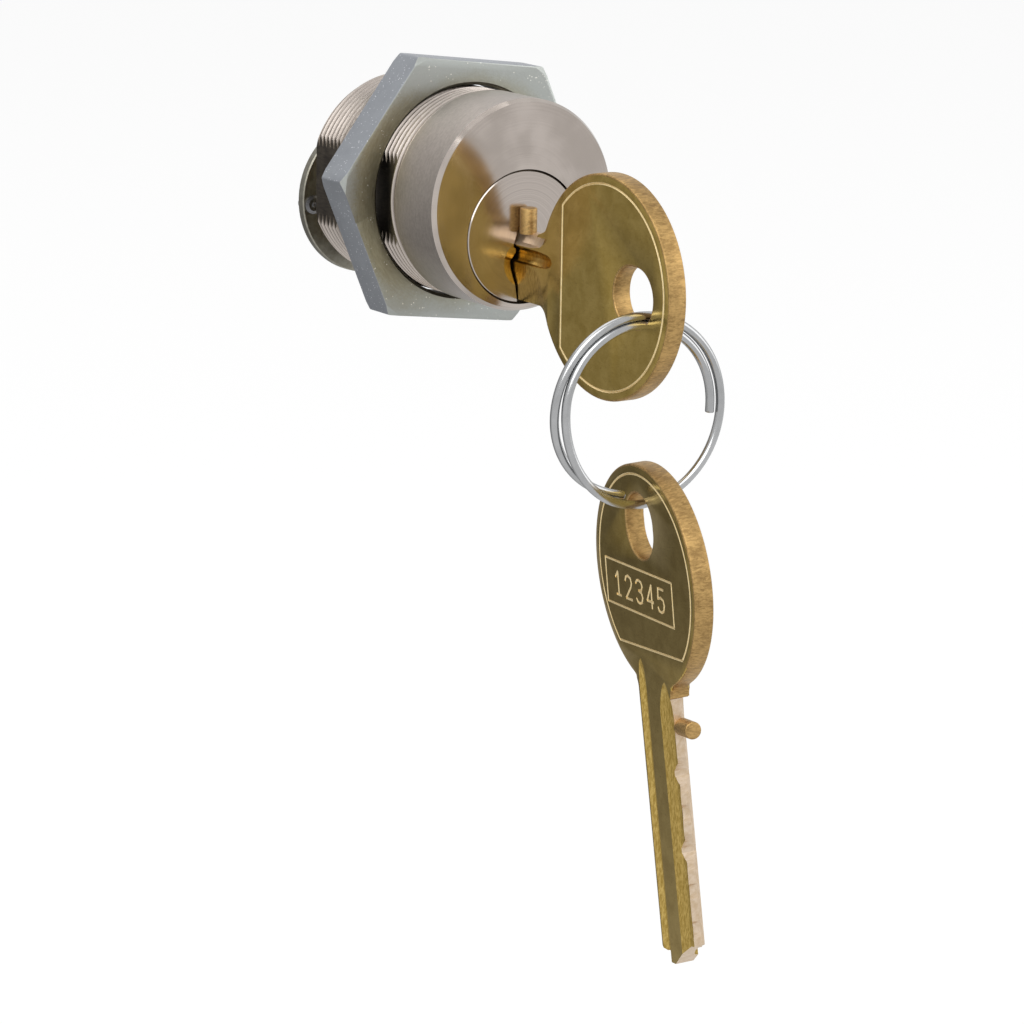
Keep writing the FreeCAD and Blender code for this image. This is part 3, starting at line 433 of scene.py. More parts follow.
def plugFinish(name):
    # plated front, bare brass wherever the plug is cut below its face
    paint = newFinish(name)
    place = paint.spot()
    x, y, z = paint.parts(place)
    out = paint.round(x, z, plugHeight)
    rings = paint.noise(paint.joined(out, 0.0, 0.0), 6.0, 4.0, 0.7)
    fine = paint.noise(paint.joined(out * 9.0, x * 0.25, z * 0.25), 2.0, 2.0, 0.6)
    plated = paint.blend(paint.ramp(rings, 0.3, 0.7), nickelTones["shade"], nickelTones["bright"])
    bare = paint.blend(fine, brassTones["bare"][0], brassTones["bare"][1])
    inside = paint.ramp(y, facePlane + 0.01, facePlane + 0.05) * paint.ramp(out, 6.6, 6.7, 1.0, 0.0)
    colour = paint.blend(inside, plated, bare)
    return paint.metal(colour, 0.13 + fine * 0.09, paint.bump(rings * 0.5 + fine * 0.5, 0.004))


finishes = {
    "face": turnedNickel("barrelFaceNickel", 0.09, 0.005),
    "bevel": turnedNickel("bevelNickel", 0.08, 0.004),
    "side": satinNickel("barrelSideNickel"),
    "thread": threadNickel("threadNickel"),
    "flat": milledFlat("milledFlatNickel"),
    # painted shade: the bores and holes get a dark brown, as shade inside them
    "bore": plainSteel("borePaintedShade", (0.10, 0.09, 0.07), (0.22, 0.19, 0.15), 0.35, 3.0, 0.01),
    "plug": plugFinish("plugNickel"),
    "zincSide": zincSide("nutSideZinc"),
    "zincFace": zincFace("nutFaceZinc"),
    "keyFace": brassFace("keyFaceBrass"),
    "keyEdge": brassEdge("keyEdgeBrass"),
    "keyMilled": brassCut("keyMilledBrass", brassTones["milled"], 0.16),
    # painted highlight: the engraved lines get a pale colour and less metal, so they look lit under any light
    "keyLineHighlight": brassCut("keyLineHighlightBrass", brassTones["line"], 0.26, 0.65),
    "keyCut": brassCut("keyCutBrass", brassTones["cut"], 0.24, 0.7),
    "ring": plainSteel("ringSteel", (0.42, 0.425, 0.43), (0.52, 0.525, 0.53), 0.12, 0.8, 0.002),
    "disc": plainSteel("tailZinc", (0.22, 0.205, 0.165), (0.38, 0.365, 0.31), 0.32, 2.2, 0.012),
    "screw": plainSteel("screwZinc", (0.40, 0.42, 0.43), (0.60, 0.61, 0.60), 0.28, 3.0, 0.01),
    "hard": plainSteel("hardSteel", (0.17, 0.17, 0.18), (0.33, 0.33, 0.34), 0.28, 3.0, 0.01),
    "spring": plainSteel("springSteel", (0.34, 0.34, 0.35), (0.55, 0.55, 0.55), 0.22, 4.0, 0.006),
    "pin": brassCut("pinBrass", brassTones["bare"], 0.22),
}
print("finishes made,", len(finishes))


# Barrel: turned head, cut thread, one flat, and the bores for the plug and its pins
barrelValues = {
    "headRadius": 11.0, "headLength": 7.6, "bevelLength": 0.54, "bevelDrop": 0.34, "neckBreak": 0.12,
    "crestRadius": 10.9, "rootRadius": 10.44, "pitch": 0.75, "length": 25.2, "rearBevel": 0.5,
    "crestEnd": 0.16, "rootStart": 0.48, "rootEnd": 0.68,  # shares of the pitch
    "flatAside": 9.8, "flatStart": 8.9, "boreRadius": 6.66, "counterRadius": 6.99, "counterDepth": 1.5,
    "chamberRadius": 1.42, "chamberFirst": 4.0, "chamberPitch": 4.0, "chambers": 5, "roof": 1.5,
    "stopHole": 23.0, "stopRadius": 1.005, "threadSteps": 120, "turnedSteps": 180,
}
barrelFinishes = ("face", "bevel", "side", "thread", "flat", "bore")


def threadTube(values, front, rear):
    pitch, crest, root = values["pitch"], values["crestRadius"], values["rootRadius"]
    turns, steps = int((rear - front) / pitch) + 3, values["threadSteps"]
    shape = bmesh.new()
    profile = [(0.0, crest), (values["crestEnd"], crest), (values["rootStart"], root),
               (values["rootEnd"], root), (1.0, crest)]
    points = [shape.verts.new((0, front - pitch + part * pitch, out)) for part, out in profile]
    sides = [shape.edges.new(pair) for pair in zip(points, points[1:])]
    bmesh.ops.spin(shape, geom=points + sides, cent=(0, 0, 0), axis=(0, 1, 0), dvec=(0, pitch / steps, 0),
                   angle=2 * math.pi * turns, steps=steps * turns)
    bmesh.ops.remove_doubles(shape, verts=shape.verts, dist=0.002)
    for place, way in ((front, -1), (rear, 1)):
        everything = shape.verts[:] + shape.edges[:] + shape.faces[:]
        cut = bmesh.ops.bisect_plane(shape, geom=everything, plane_co=(0, place, 0), plane_no=(0, way, 0),
                                     clear_outer=True)
        rim = [item for item in cut["geom_cut"] if isinstance(item, bmesh.types.BMEdge)]
        bmesh.ops.contextual_create(shape, geom=rim)
    return asPiece("lock_barrel", shape)


def makeBarrel(values):
    front, rear = facePlane, facePlane + values["length"]
    neck = front + values["headLength"]
    radius, crest, steps = values["headRadius"], values["crestRadius"], values["turnedSteps"]
    head = turned("head", [
        (front, 0.0), (front, radius - values["bevelDrop"]), (front + values["bevelLength"], radius),
        (neck - values["neckBreak"], radius), (neck, radius - values["neckBreak"]), (neck, 0.0)], steps)
    barrel = threadTube(values, neck - 0.5, rear)
    lead = turned("lead", [
        (neck - 2, 0.0), (neck - 2, crest + 1), (rear - values["rearBevel"], crest + 1),
        (rear - values["rearBevel"], crest), (rear, crest - values["rearBevel"]), (rear, 0.0)], steps)
    carve(barrel, lead, "INTERSECT")
    carve(barrel, head, "UNION")
    seat = front + values["counterDepth"]
    start, end, step = [(0, along, plugHeight) for along in (front - 2, rear + 2, seat)]
    carve(barrel, rod("bore", values["boreRadius"], start, end, 128))
    carve(barrel, rod("counter", values["counterRadius"], start, step, 128))
    aside = -values["flatAside"]
    carve(barrel, slab("flat", [(aside - 6, -20), (aside, -20), (aside, 20), (aside - 6, 20)],
                       front + values["flatStart"], rear + 2, "y"))
    drills = []
    for index in range(values["chambers"]):
        along = values["chamberFirst"] + index * values["chamberPitch"]
        outside = radius if along < values["headLength"] else crest
        drills.append(rod("drill", values["chamberRadius"], (0, front + along, plugHeight + 5),
                          (0, front + along, outside - values["roof"]), 40))
    stop = front + values["stopHole"]
    drills.append(rod("drill", values["stopRadius"], (5, stop, plugHeight), (14, stop, plugHeight), 40))
    carve(barrel, together("drills", drills))

    def region(middle, way):
        out = math.hypot(middle.x, middle.z)
        if way.y < -0.95 and middle.y < front + 0.02:
            return "face"
        if middle.y < front + values["bevelLength"] and out > radius - values["bevelDrop"] - 0.01:
            return "bevel"
        if way.x < -0.95 and abs(middle.x - aside) < 0.02:
            return "flat"
        if out > crest + 0.01 or (front + 1 < middle.y < neck + 0.01 and out > crest - 0.3):
            return "side"
        # what lies within 9.9 mm of the axis, mostly the bores and holes, takes the dark finish painted as
        # shade
        return "thread" if out > 9.9 else "bore"

    sortFaces(barrel, barrelFinishes, region)
    settle(barrel, "lock_body", barrelFinishes, ["barrel", "chamber_caps"], flat=True)


makeBarrel(barrelValues)
print("barrel made")


# Nut: thin hexagon, its corners turned down on both faces
nutValues = {
    "front": -4.3, "rear": 0.0, "flats": 27.0, "faceRadius": 14.95, "cornerSlope": 2.4, "bore": 11.08,
    "turn": 7.2, "mouth": 0.35, "edge": 0.12,
}
nutFinishes = ("zincFace", "zincSide")


def makeNut(values):
    front, rear = values["front"], values["rear"]
    shape = bmesh.new()
    bmesh.ops.create_circle(shape, cap_ends=True, segments=6, radius=values["flats"] / math.sqrt(3))
    stand = (Matrix.Rotation(math.radians(values["turn"]), 4, "Y") @ Matrix.Rotation(math.radians(90), 4, "X")
             @ Matrix.Rotation(math.radians(30), 4, "Z"))
    bmesh.ops.transform(shape, matrix=stand, verts=shape.verts)
    bmesh.ops.translate(shape, verts=shape.verts, vec=(0, front, 0))
    pushFaces(shape, shape.faces[:], (0, rear - front, 0))
    nut = asPiece("thin_nut", shape)
    slope, rim = values["cornerSlope"], values["faceRadius"]
    fall = slope / math.sqrt(3)
    carve(nut, turned("corners", [
        (front, 0.0), (front, rim), (front + fall, rim + slope),
        (rear - fall, rim + slope), (rear, rim), (rear, 0.0)], 180), "INTERSECT")
    bore, mouth = values["bore"], values["mouth"]
    carve(nut, turned("hole", [
        (front - 1, 0.0), (front - 1, bore + mouth + 1), (front + mouth, bore), (rear - mouth, bore),
        (rear + 1, bore + mouth + 1), (rear + 1, 0.0)], 160))
    steep = math.radians(30)

    def onCorner(edge):
        return edge.calc_face_angle(0) > steep and edge.calc_length() > 3

    softenEdges(nut, values["edge"], 2, onCorner)

    def region(middle, way):
        onFace = abs(way.y) > 0.5 or math.hypot(middle.x, middle.z) < bore + 1
        return "zincFace" if onFace else "zincSide"

    sortFaces(nut, nutFinishes, region)
    settle(nut, "nut", nutFinishes, ["hex_nut"])


makeNut(nutValues)
print("nut made")


# Keys: drawn about the plug's axis with y = 0 at the barrel's face
keyValues = {
    "thick": 2.1, "top": 0.66, "back": 6.45, "bowRadius": 11.45, "bowReach": 27.44, "bowDrop": 2.69,
    "neck": 4.2, "rise": 0.3, "neckRound": 1.6, "roll": 0.22,
    "holeRadius": 3.05, "holeStretch": 0.6, "holeReach": 21.15, "holeDrop": 2.84,
    "nibGap": 0.05, "nibRadius": 0.9, "nibAside": -0.14, "nibRise": 3.2, "nibRound": 0.18,
    "cuts": (1.4, 0.55, 1.4, 0.3, 0.4), "cutFloor": 1.0, "cutFirst": 4.0, "cutPitch": 4.0,
    "webEnd": 22.0, "backEnd": 23.5, "tip": 24.4, "tipTop": -3.6, "tipLow": -4.84,
    "millRadius": 9.0, "leftStart": -3.1, "topStart": -1.6, "stepStart": -2.0, "grooveStart": -3.9,
    "lineInset": 1.0, "lineHalf": 0.115, "lineDepth": 0.10, "lineLift": 0.04, "lineFlare": 1.5, "chord": -8.5,
    "digits": "12345", "digitHeight": 2.4, "digitWidth": 1.45, "digitStep": 2.5, "digitHalf": 0.13,
    "box": {"along": -14.25, "across": -4.2, "long": 15.4, "wide": 4.6, "tilt": 2.5},
}
keyFinishes = ("keyFace", "keyEdge", "keyMilled", "keyLineHighlight", "keyCut")
strokeHeight = 1.8  # the digits below are 1 wide and this high
digitStrokes = {
    "1": [[(0.15, 1.35), (0.55, 1.8), (0.55, 0.0)], [(0.2, 0.0), (0.9, 0.0)]],
    "2": [[(0.0, 1.35), (0.12, 1.65), (0.5, 1.8), (0.88, 1.65), (1.0, 1.3), (0.85, 0.95), (0.0, 0.0),
           (1.0, 0.0)]],
    "3": [[(0.0, 1.5), (0.2, 1.73), (0.5, 1.8), (0.85, 1.7), (1.0, 1.4), (0.85, 1.05), (0.4, 0.97)],
          [(0.4, 0.97), (0.85, 0.85), (1.0, 0.5), (0.85, 0.12), (0.5, 0.0), (0.2, 0.06), (0.0, 0.3)]],
    "4": [[(0.75, 0.0), (0.75, 1.8), (0.0, 0.5), (1.0, 0.5)]],
    "5": [[(0.95, 1.8), (0.12, 1.8), (0.05, 1.0), (0.5, 1.12), (0.88, 0.98), (1.0, 0.58), (0.85, 0.14),
           (0.5, 0.0), (0.15, 0.06), (0.0, 0.3)]],
}


def scoreTool(values, start, end, side, half):
    # V-shaped scriber run along a straight line on one face of the key
    start, end = Vector(start), Vector(end)
    skin = values["thick"] / 2
    way = (end - start).normalized()
    across = Vector((-way.y, way.x)) * half * values["lineFlare"]
    shape = bmesh.new()
    start, end = start - way * half * 0.6, end + way * half * 0.6
    section = [(skin + values["lineLift"], start + across), (skin + values["lineLift"], start - across),
               (skin - values["lineDepth"], start)]
    points = [shape.verts.new((side * out, spot.x, spot.y)) for out, spot in section]
    pushFaces(shape, [shape.faces.new(points)], (0, end.x - start.x, end.y - start.y))
    return asPiece("score", shape)


def borderTool(values, side):
    # the scriber turned round the bow, from one end of the chord to the other
    radius = values["bowRadius"] - values["lineInset"]
    middle = values["bowRadius"] - values["bowReach"]
    half, lift, skin = values["lineHalf"] * values["lineFlare"], values["lineLift"], values["thick"] / 2
    reach = math.acos((values["chord"] - middle) / radius)
    shape = bmesh.new()
    centre = Vector((0, middle, -values["bowDrop"]))
    aim = Vector((0, math.cos(reach), math.sin(reach)))
    section = [(skin + lift, radius - half), (skin + lift, radius + half),
               (skin - values["lineDepth"], radius)]
    points = [shape.verts.new(centre + aim * out + Vector((side * up, 0, 0))) for up, out in section]
    face = shape.faces.new(points)
    bmesh.ops.spin(shape, geom=[face], cent=centre, axis=(1, 0, 0), angle=2 * math.pi - 2 * reach, steps=120)
    return asPiece("border", shape)


def leftOutlines(values):
    # a deep groove and a wide rebate along the back
    half, low = values["thick"] / 2, values["back"]
    out = -half - 0.3
    return [
        [(out, -0.80), (-half, -0.80), (-0.62, -0.98), (-0.42, -1.30), (-0.36, -1.70), (-0.46, -2.14),
         (-0.70, -2.40), (-half, -2.52), (out, -2.52)],
        [(out, -2.60), (-half, -2.60), (-0.55, -low - 1.6), (out, -low - 1.6)],
    ]


def topOutlines(values):
    # hollow flute under the cut edge
    half, top = values["thick"] / 2, values["top"]
    out = -half - 0.3
    return [[(out, top), (-0.15, top), (-0.30, 0.20), (-0.62, -0.40), (-half, -0.69), (out, -0.74)]]


def stepOutlines(values):
    # groove along the cut edge: bright wall, hollow floor and a low rise to the top
    half, top = values["thick"] / 2, values["top"]
    out = half + 0.3
    return [[(out, top + 0.9), (half, top + 0.7), (0.74, top), (0.42, 0.05), (0.36, -0.18), (0.48, -0.62),
             (half, -1.75), (out, -1.9)]]


def grooveOutlines(values):
    # shallow groove near the back
    half = values["thick"] / 2
    out = half + 0.3
    return [[(out, -4.55), (half, -4.55), (0.66, -4.92), (0.44, -5.38), (0.58, -5.84), (half, -6.22),
             (out, -6.22)]]


def millTools(values, outlines, start, side):
    # a straight run along the blade, and the round cutter's own shape where it left the metal
    parts = []
    axis = side * (values["thick"] / 2 + values["millRadius"])
    for outline in outlines:
        parts.append(slab("mill", outline, start, values["tip"] + 3, "y"))
        shape = bmesh.new()
        points = [shape.verts.new((a, start, b)) for a, b in outline]
        sides = [shape.edges.new((points[index - 1], points[index])) for index in range(len(points))]
        bmesh.ops.spin(shape, geom=points + sides, cent=(axis, start, 0), axis=(0, 0, 1), angle=2 * math.pi,
                       steps=180, use_merge=True)
        parts.append(asPiece("mill", shape))
    return parts


def boxSpot(box, far, rise):
    # a place on the key's face, from one along and across the tilted box
    tilt = math.radians(box["tilt"])
    return (box["along"] + math.sin(tilt) * far - math.cos(tilt) * rise,
            box["across"] + math.cos(tilt) * far + math.sin(tilt) * rise)


def digitTools(values, side):
    tools = []
    count = len(values["digits"])
    scale = values["digitHeight"] / strokeHeight
    for index, digit in enumerate(values["digits"]):
        shift = (index - (count - 1) / 2) * values["digitStep"] - values["digitWidth"] / 2
        for stroke in digitStrokes[digit]:
            spots = [boxSpot(values["box"], shift + a * values["digitWidth"], (b - strokeHeight / 2) * scale)
                     for a, b in stroke]
            tools += [scoreTool(values, start, end, side, values["digitHalf"])
                      for start, end in zip(spots, spots[1:])]
    return tools


def arcSpots(centre, radius, first, last, steps):
    # places along an arc, by angles from +y towards +z
    angles = [first + (last - first) * step / steps for step in range(steps + 1)]
    return [(centre[0] + radius * math.cos(angle), centre[1] + radius * math.sin(angle)) for angle in angles]


def keyOutline(values):
    # round the plate: neck, cut edge, tip, back and bow
    bow, soft = values["bowRadius"], values["neckRound"]
    middle = Vector((bow - values["bowReach"], -values["bowDrop"]))
    top, low, shoulder = values["top"], -values["back"], values["top"] + values["rise"]
    reach = bow + soft
    upper = Vector((middle.x + math.sqrt(reach ** 2 - (shoulder + soft - middle.y) ** 2), shoulder + soft))
    lower = Vector((middle.x + math.sqrt(reach ** 2 - (low - soft - middle.y) ** 2), low - soft))
    spots = [(-values["neck"], shoulder), (values["rise"] - values["neck"], top)]
    for index, depth in enumerate(values["cuts"]):
        along, floor = values["cutFirst"] + index * values["cutPitch"], values["cutFloor"] / 2
        slope = depth * 0.75
        spots += [(along - floor - depth, top), (along - floor - depth * 0.25, top - slope),
                  (along - floor * 0.5, top - depth), (along + floor * 0.5, top - depth),
                  (along + floor + depth * 0.25, top - slope), (along + floor + depth, top)]
    webEnd, backEnd, tip, tipLow = values["webEnd"], values["backEnd"], values["tip"], values["tipLow"]
    spots += [(webEnd - 0.3, top), (webEnd, top - 0.4), (webEnd, -0.6), (tip, values["tipTop"]),
              (tip, tipLow), (backEnd, tipLow), (backEnd, low + 0.5), (backEnd - 0.5, low)]
    toBow = middle - lower
    spots += arcSpots(lower, soft, math.pi / 2, math.atan2(toBow.y, toBow.x), 6)
    fromBow, backToBow = lower - middle, upper - middle
    first, last = math.atan2(fromBow.y, fromBow.x), math.atan2(backToBow.y, backToBow.x) - 2 * math.pi
    spots += arcSpots(middle, bow, first, last, 150)[1:]
    toBow = middle - upper
    return spots + arcSpots(upper, soft, math.atan2(toBow.y, toBow.x) + 2 * math.pi, 1.5 * math.pi, 6)[1:]


def keyMarks(values):
    # border and chord on both faces, the box and its digits on the one that the spare key shows
    half, chord, middle = values["lineHalf"], values["chord"], -values["bowDrop"]
    centre = values["bowRadius"] - values["bowReach"]
    reach = math.sqrt((values["bowRadius"] - values["lineInset"]) ** 2 - (chord - centre) ** 2)
    tools = []
    for side in (-1, 1):
        tools.append(borderTool(values, side))
        tools.append(scoreTool(values, (chord, middle - reach), (chord, middle + reach), side, half))
    box = values["box"]
    corners = [boxSpot(box, a * box["long"] / 2, b * box["wide"] / 2)
               for a, b in ((-1, -1), (1, -1), (1, 1), (-1, 1))]
    tools += [scoreTool(values, corners[index - 1], corners[index], 1, half) for index in range(4)]
    tools += digitTools(values, 1)
    return together("marks", tools)


def drawKey(name, values):
    half, neck = values["thick"] / 2, values["neck"]
    key = slab(name, keyOutline(values), -half, half)
    for way in (-1, 1):
        along = -values["holeReach"] + way * values["holeStretch"] / 2
        carve(key, rod("hole", values["holeRadius"], (-3, along, -values["holeDrop"]),
                       (3, along, -values["holeDrop"]), 96))

    def onRim(edge):
        # sheared plate: the outer rims of bow and hole are rolled over
        ends = [vert.co for vert in edge.verts]
        flat = all(abs(abs(end.x) - half) < 0.01 for end in ends) and abs(ends[0].x - ends[1].x) < 0.01
        behind = max(end.y for end in ends) < -neck - 0.6
        return flat and behind and edge.calc_face_angle(0) > math.radians(60)

    softenEdges(key, values["roll"], 3, onRim)
    mills = (millTools(values, leftOutlines(values), values["leftStart"], -1)
             + millTools(values, topOutlines(values), values["topStart"], -1)
             + millTools(values, stepOutlines(values), values["stepStart"], 1)
             + millTools(values, grooveOutlines(values), values["grooveStart"], 1))
    for part in mills:
        carve(key, part)
    along, aside, rise = -values["nibGap"] - values["nibRadius"], values["nibAside"], values["nibRise"]
    nib = rod("nib", values["nibRadius"], (aside, along, values["top"] - 0.15), (aside, along, rise), 48)
    softenEdges(nib, values["nibRound"], 3, lambda edge: min(vert.co.z for vert in edge.verts) > rise - 0.01)
    carve(key, nib, "UNION")
    carve(key, keyMarks(values), crossing=True)
    centre = values["bowRadius"] - values["bowReach"]
    inner, outer = values["bowRadius"] - values["roll"] - 0.1, values["holeRadius"] + values["roll"] + 0.4

    def region(middle, way):
        skin = half - abs(middle.x)
        if abs(way.x) > 0.99 and skin < 0.01:
            return "keyFace"
        if middle.y < -neck - 0.8:
            inBow = math.hypot(middle.y - centre, middle.z + values["bowDrop"]) < inner
            outHole = math.hypot(middle.y + values["holeReach"], middle.z + values["holeDrop"]) > outer
            onMill = abs(way.y) < 0.6 and middle.y > values["chord"] + 0.6
            # the walls of the engraved lines take the painted highlight
            if skin < values["lineDepth"] + 0.02 and inBow and outHole and not onMill:
                return "keyLineHighlight"
            return "keyMilled" if onMill and skin > 0.001 and abs(way.x) > 0.1 else "keyEdge"
        if middle.z > values["top"] + 0.05:
            return "keyEdge"
        if abs(way.x) < 0.02 or (middle.x < 0 and middle.z > -0.76):
            return "keyCut"
        return "keyMilled"

    sortFaces(key, keyFinishes, region)
    return key


insertedKey = drawKey("key_in_lock", keyValues)
hangingKey = linked("key_on_ring", insertedKey.data.copy())
inLock = Matrix.Translation((0, facePlane, plugHeight))
settle(insertedKey, "inserted_key", keyFinishes, ["key"], inLock, sharp=18, flat=True)

# the spare hangs by the hole in its bow, cut edge towards the viewer; degrees
spareValues = {"hole": (-0.05, -38.4, -28.855), "yaw": -9.4, "lean": -6.0, "tilt": -3.6}


def hangingPlace(values):
    yaw, lean, tilt = [math.radians(values[key]) for key in ("yaw", "lean", "tilt")]
    turn = (Matrix.Rotation(tilt, 4, "Y") @ Matrix.Rotation(lean, 4, "X") @ Matrix.Rotation(yaw, 4, "Z")
            @ Matrix.Rotation(math.pi, 4, Vector((0, 1, -1))))
    fromHole = Matrix.Translation((0, keyValues["holeReach"], keyValues["holeDrop"]))
    return Matrix.Translation(values["hole"]) @ turn @ fromHole


onRing = hangingPlace(spareValues)
settle(hangingKey, "hanging_key", keyFinishes, ["spare_key"], onRing, sharp=18, flat=True)
print("keys made")


# Split ring: the wire goes round once and three quarters, one turn nested in the other
ringValues = {
    "centre": (-1.44, -38.3, -17.1), "outer": 9.53, "inner": 8.62, "wire": 0.46, "yaw": 3.6,
    "start": 0.274, "end": 2.018, "cross": 0.375, "crossHalf": 0.13,  # in turns, from +x downwards
    "side": 0.62, "sideHalf": 0.16, "splay": 0.3, "splayStart": 1.75, "splayEnd": 2.02,
    "spotsInTurn": 48, "endBevel": 0.12,
}


def smoothStep(value, low, high):
    part = min(1.0, max(0.0, (value - low) / (high - low)))
    return part * part * (3 - 2 * part)


def ringPath(values):
    path = bpy.data.curves.new("ringPath", "CURVE")
    path.dimensions = "3D"
    spline = path.splines.new("NURBS")
    start, end, cross, half = [values[key] for key in ("start", "end", "cross", "crossHalf")]
    count = int((end - start) * values["spotsInTurn"])
    spline.points.add(count)
    sway = Matrix.Rotation(-math.radians(values["yaw"]), 3, "Z")
    for index in range(count + 1):
        turn = start + (end - start) * index / count
        leave, back = [smoothStep(turn, cross + whole - half, cross + whole + half) for whole in (0, 1)]
        radius = values["outer"] + (values["inner"] - values["outer"]) * (1 - leave + back)
        radius -= values["splay"] * smoothStep(turn, values["splayStart"], values["splayEnd"])
        over, under = [math.exp(-((turn - cross - whole) / values["sideHalf"]) ** 2) for whole in (0, 1)]
        depth = values["side"] * over - values["side"] * under
        angle = 2 * math.pi * turn
        spot = sway @ Vector((radius * math.cos(angle), depth, -radius * math.sin(angle)))
        spline.points[index].co = (*(spot + Vector(values["centre"])), 1)
    spline.order_u = 3
    spline.use_endpoint_u = True
    spline.resolution_u = 3
    path.bevel_depth = values["wire"]
    path.bevel_resolution = 5
    path.use_fill_caps = True
    return path


def makeRing(values):
    holder = linked("ringPath", ringPath(values))
    mesh = workedMesh(holder)
    bpy.data.objects.remove(holder)
    shape = bmesh.new()
    shape.from_mesh(mesh)
    bpy.data.meshes.remove(mesh)
    bmesh.ops.remove_doubles(shape, verts=shape.verts, dist=0.002)
    steep = math.radians(60)
    rims = [edge for edge in shape.edges if len(edge.link_faces) == 2 and edge.calc_face_angle(0) > steep]
    bmesh.ops.bevel(shape, geom=rims, offset=values["endBevel"], segments=2, profile=0.5, affect="EDGES",
                    material=-1)
    ring = asPiece("key_ring_wire", shape)
    settle(ring, "key_ring", ["ring"], ["split_ring"], sharp=50)


makeRing(ringValues)
print("ring made")


# Pin springs, wound between each driver and its cap
springValues = {"radius": 1.05, "wire": 0.13, "turns": 4, "steps": 20}


def makeSprings(values):
    for index in range(barrelValues["chambers"]):
        low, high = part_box(f"pin_spring_{index + 1}")
        foot, roof = low.z / millimetre + values["wire"], high.z / millimetre - values["wire"]
        along = (low.y + high.y) / 2 / millimetre
        shape = bmesh.new()
        loop = bmesh.ops.create_circle(shape, cap_ends=True, segments=10, radius=values["wire"])["verts"]
        bmesh.ops.rotate(shape, verts=loop, cent=(0, 0, 0), matrix=Matrix.Rotation(math.radians(90), 3, "X"))
        bmesh.ops.translate(shape, verts=loop, vec=(values["radius"], along, foot))
        total = values["turns"] * values["steps"]
        bmesh.ops.spin(shape, geom=shape.faces[:], cent=(0, along, 0), axis=(0, 0, 1),
                       dvec=(0, 0, (roof - foot) / total), angle=2 * math.pi * values["turns"], steps=total)
        spring = asPiece(f"wound_spring_{index + 1}", shape)
        settle(spring, "lock_body", ["spring"], [f"pin_spring_{index + 1}"])


makeSprings(springValues)
print("springs made")


# Finishes of the pieces that keep their own CAD shape
nodeFinish = {
    "plug": "plug", "stop_pin": "hard", "circlip": "hard", "tail_spacer": "screw", "cam_disc": "disc",
    "drive_pin": "hard", "lock_washer": "spring", "tail_screw": "screw",
}
for name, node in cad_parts.items():
    if node.hide_render:
        continue
    key = "pin" if name.startswith(("key_pin", "driver_pin")) else nodeFinish[name]
    for place in node.material_slots:
        place.material = finishes[key]
print("nodes finished")


# Floor, world, lamps and camera
studioValues = {
    "floorHeight": -0.15, "floorSize": 8.0, "floorColour": (0.82, 0.82, 0.82), "floorRough": 0.9,
    "floorWhite": 1.1, "floorShown": 0.75, "floorMirrored": 0.9, "worldSoft": 0.55,
    "focus": (0.0, -0.03, -0.02), "shadeAim": (-0.25, 0.93, -0.27), "shadeCore": 0.004, "shadeSpread": 0.6,
    "shadeLow": 0.075, "shadeHigh": 0.86, "lampAim": (0, -0.02, -0.03),
}
plainWhite = (1.0, 1.0, 1.0)


def studioTone(paint, way, values):
    # the room that metal shows: pale all round, falling off softly towards one side
    aim = paint.node("ShaderNodeVectorMath", {"operation": "NORMALIZE"}, {0: way})
    dot = paint.node("ShaderNodeVectorMath", {"operation": "DOT_PRODUCT"}, {0: aim, 1: values["shadeAim"]}, 1)
    core = values["shadeCore"]
    away = paint.ramp(1 - dot, core, core + values["shadeSpread"], kind="LINEAR")
    return values["shadeLow"] + (values["shadeHigh"] - values["shadeLow"]) * away ** 0.5


def rays(paint):
    # camera rays, and the rays by which metal and glass see their surroundings
    camera, glossy, through = [paint.node("ShaderNodeLightPath", {}, {}, index) for index in (0, 3, 6)]
    mirrored = paint.node("ShaderNodeMath", {"operation": "MAXIMUM"}, {0: glossy, 1: through})
    return camera, mirrored


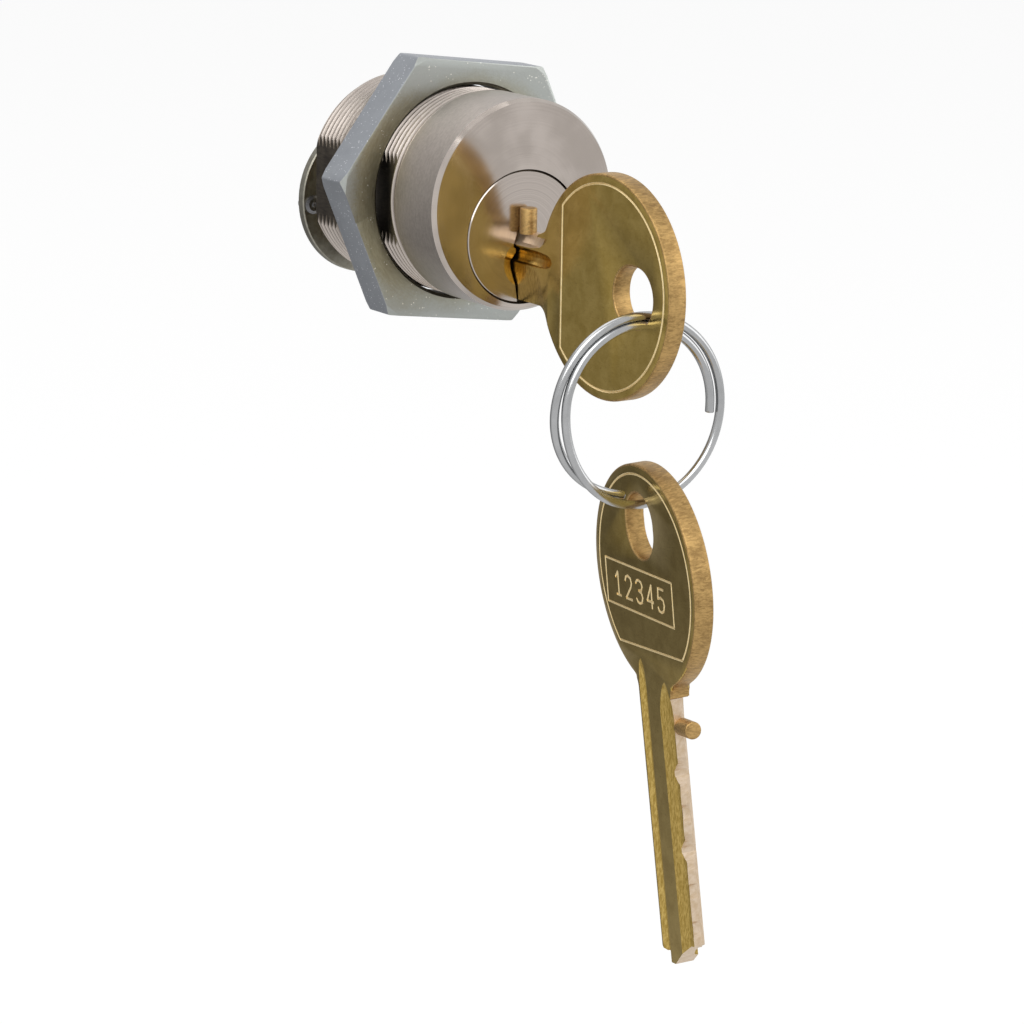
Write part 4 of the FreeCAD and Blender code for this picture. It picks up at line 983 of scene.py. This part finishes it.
def makeFloor(values):
    shape = bmesh.new()
    bmesh.ops.create_grid(shape, x_segments=1, y_segments=1, size=values["floorSize"] / 2)
    mesh = asMesh("floor", shape)
    mesh.transform(Matrix.Translation((0, 0, values["floorHeight"])))
    floor = linked("floor", mesh)
    paint = newFinish("paleFloor")
    camera, mirrored = rays(paint)
    raw = paint.node("ShaderNodeTexCoord", {}, {}, 3)
    way = paint.node("ShaderNodeVectorMath", {"operation": "SUBTRACT"}, {0: raw, 1: values["focus"]})
    tone = camera * values["floorWhite"] + (1 - camera) * studioTone(paint, way, values)
    plain = paint.node("ShaderNodeBsdfPrincipled", {}, {
        "Base Color": values["floorColour"], "Roughness": values["floorRough"]})
    white = paint.node("ShaderNodeEmission", {}, {"Color": plainWhite, "Strength": tone})
    share = camera * values["floorShown"] + mirrored * values["floorMirrored"]
    paint.end(paint.node("ShaderNodeMixShader", {}, {0: share, 1: plain, 2: white}))
    mesh.materials.append(paint.owner)


def makeWorld(values):
    world = bpy.data.worlds.new("studio")
    bpy.context.scene.world = world
    paint = Finish(world)
    camera, mirrored = rays(paint)
    way = paint.node("ShaderNodeTexCoord", {}, {}, 0)
    tone = camera + (1 - camera) * studioTone(paint, way, values)
    soft = paint.node("ShaderNodeBackground", {}, {0: plainWhite, 1: values["worldSoft"]})
    white = paint.node("ShaderNodeBackground", {}, {0: plainWhite, 1: tone})
    shader = paint.node("ShaderNodeMixShader", {}, {0: camera + mirrored, 1: soft, 2: white})
    paint.end(shader, "ShaderNodeOutputWorld")


lampValues = {  # place, power and size
    "softLeft": ((-0.55, -0.70, 0.75), 7.0, 1.0),
    "softRight": ((0.85, -0.55, 0.35), 2.6, 0.8),
    "softTop": ((-0.10, 0.45, 1.00), 2.4, 0.9),
}


def makeLamp(name, place, power, size):
    lamp = bpy.data.lights.new(name, "AREA")
    lamp.energy = power
    lamp.shape = "SQUARE"
    lamp.size = size
    holder = linked(name, lamp)
    holder.location = place
    holder.rotation_mode = "QUATERNION"
    holder.rotation_quaternion = (Vector(studioValues["lampAim"]) - Vector(place)).to_track_quat("-Z", "Y")


cameraValues = {
    "place": (-0.25305, -0.39552, 0.07384), "lens": 158.203, "sensor": 36.0,
    "right": (0.83546, -0.54934, 0.01533), "up": (0.11187, 0.19732, 0.97394),
    "back": (-0.53805, -0.81196, 0.22631),
}


def makeCamera(values):
    camera = bpy.data.cameras.new("photoCamera")
    camera.lens = values["lens"]
    camera.sensor_width = values["sensor"]
    camera.clip_start, camera.clip_end = 0.01, 50
    holder = linked("photoCamera", camera)
    turn = Matrix((values["right"], values["up"], values["back"])).transposed().to_4x4()
    holder.matrix_world = Matrix.Translation(values["place"]) @ turn
    bpy.context.scene.camera = holder


makeFloor(studioValues)
makeWorld(studioValues)
for name, lamp in lampValues.items():
    makeLamp(name, *lamp)
makeCamera(cameraValues)
bpy.context.scene.view_settings.view_transform = "Standard"
print("studio made")
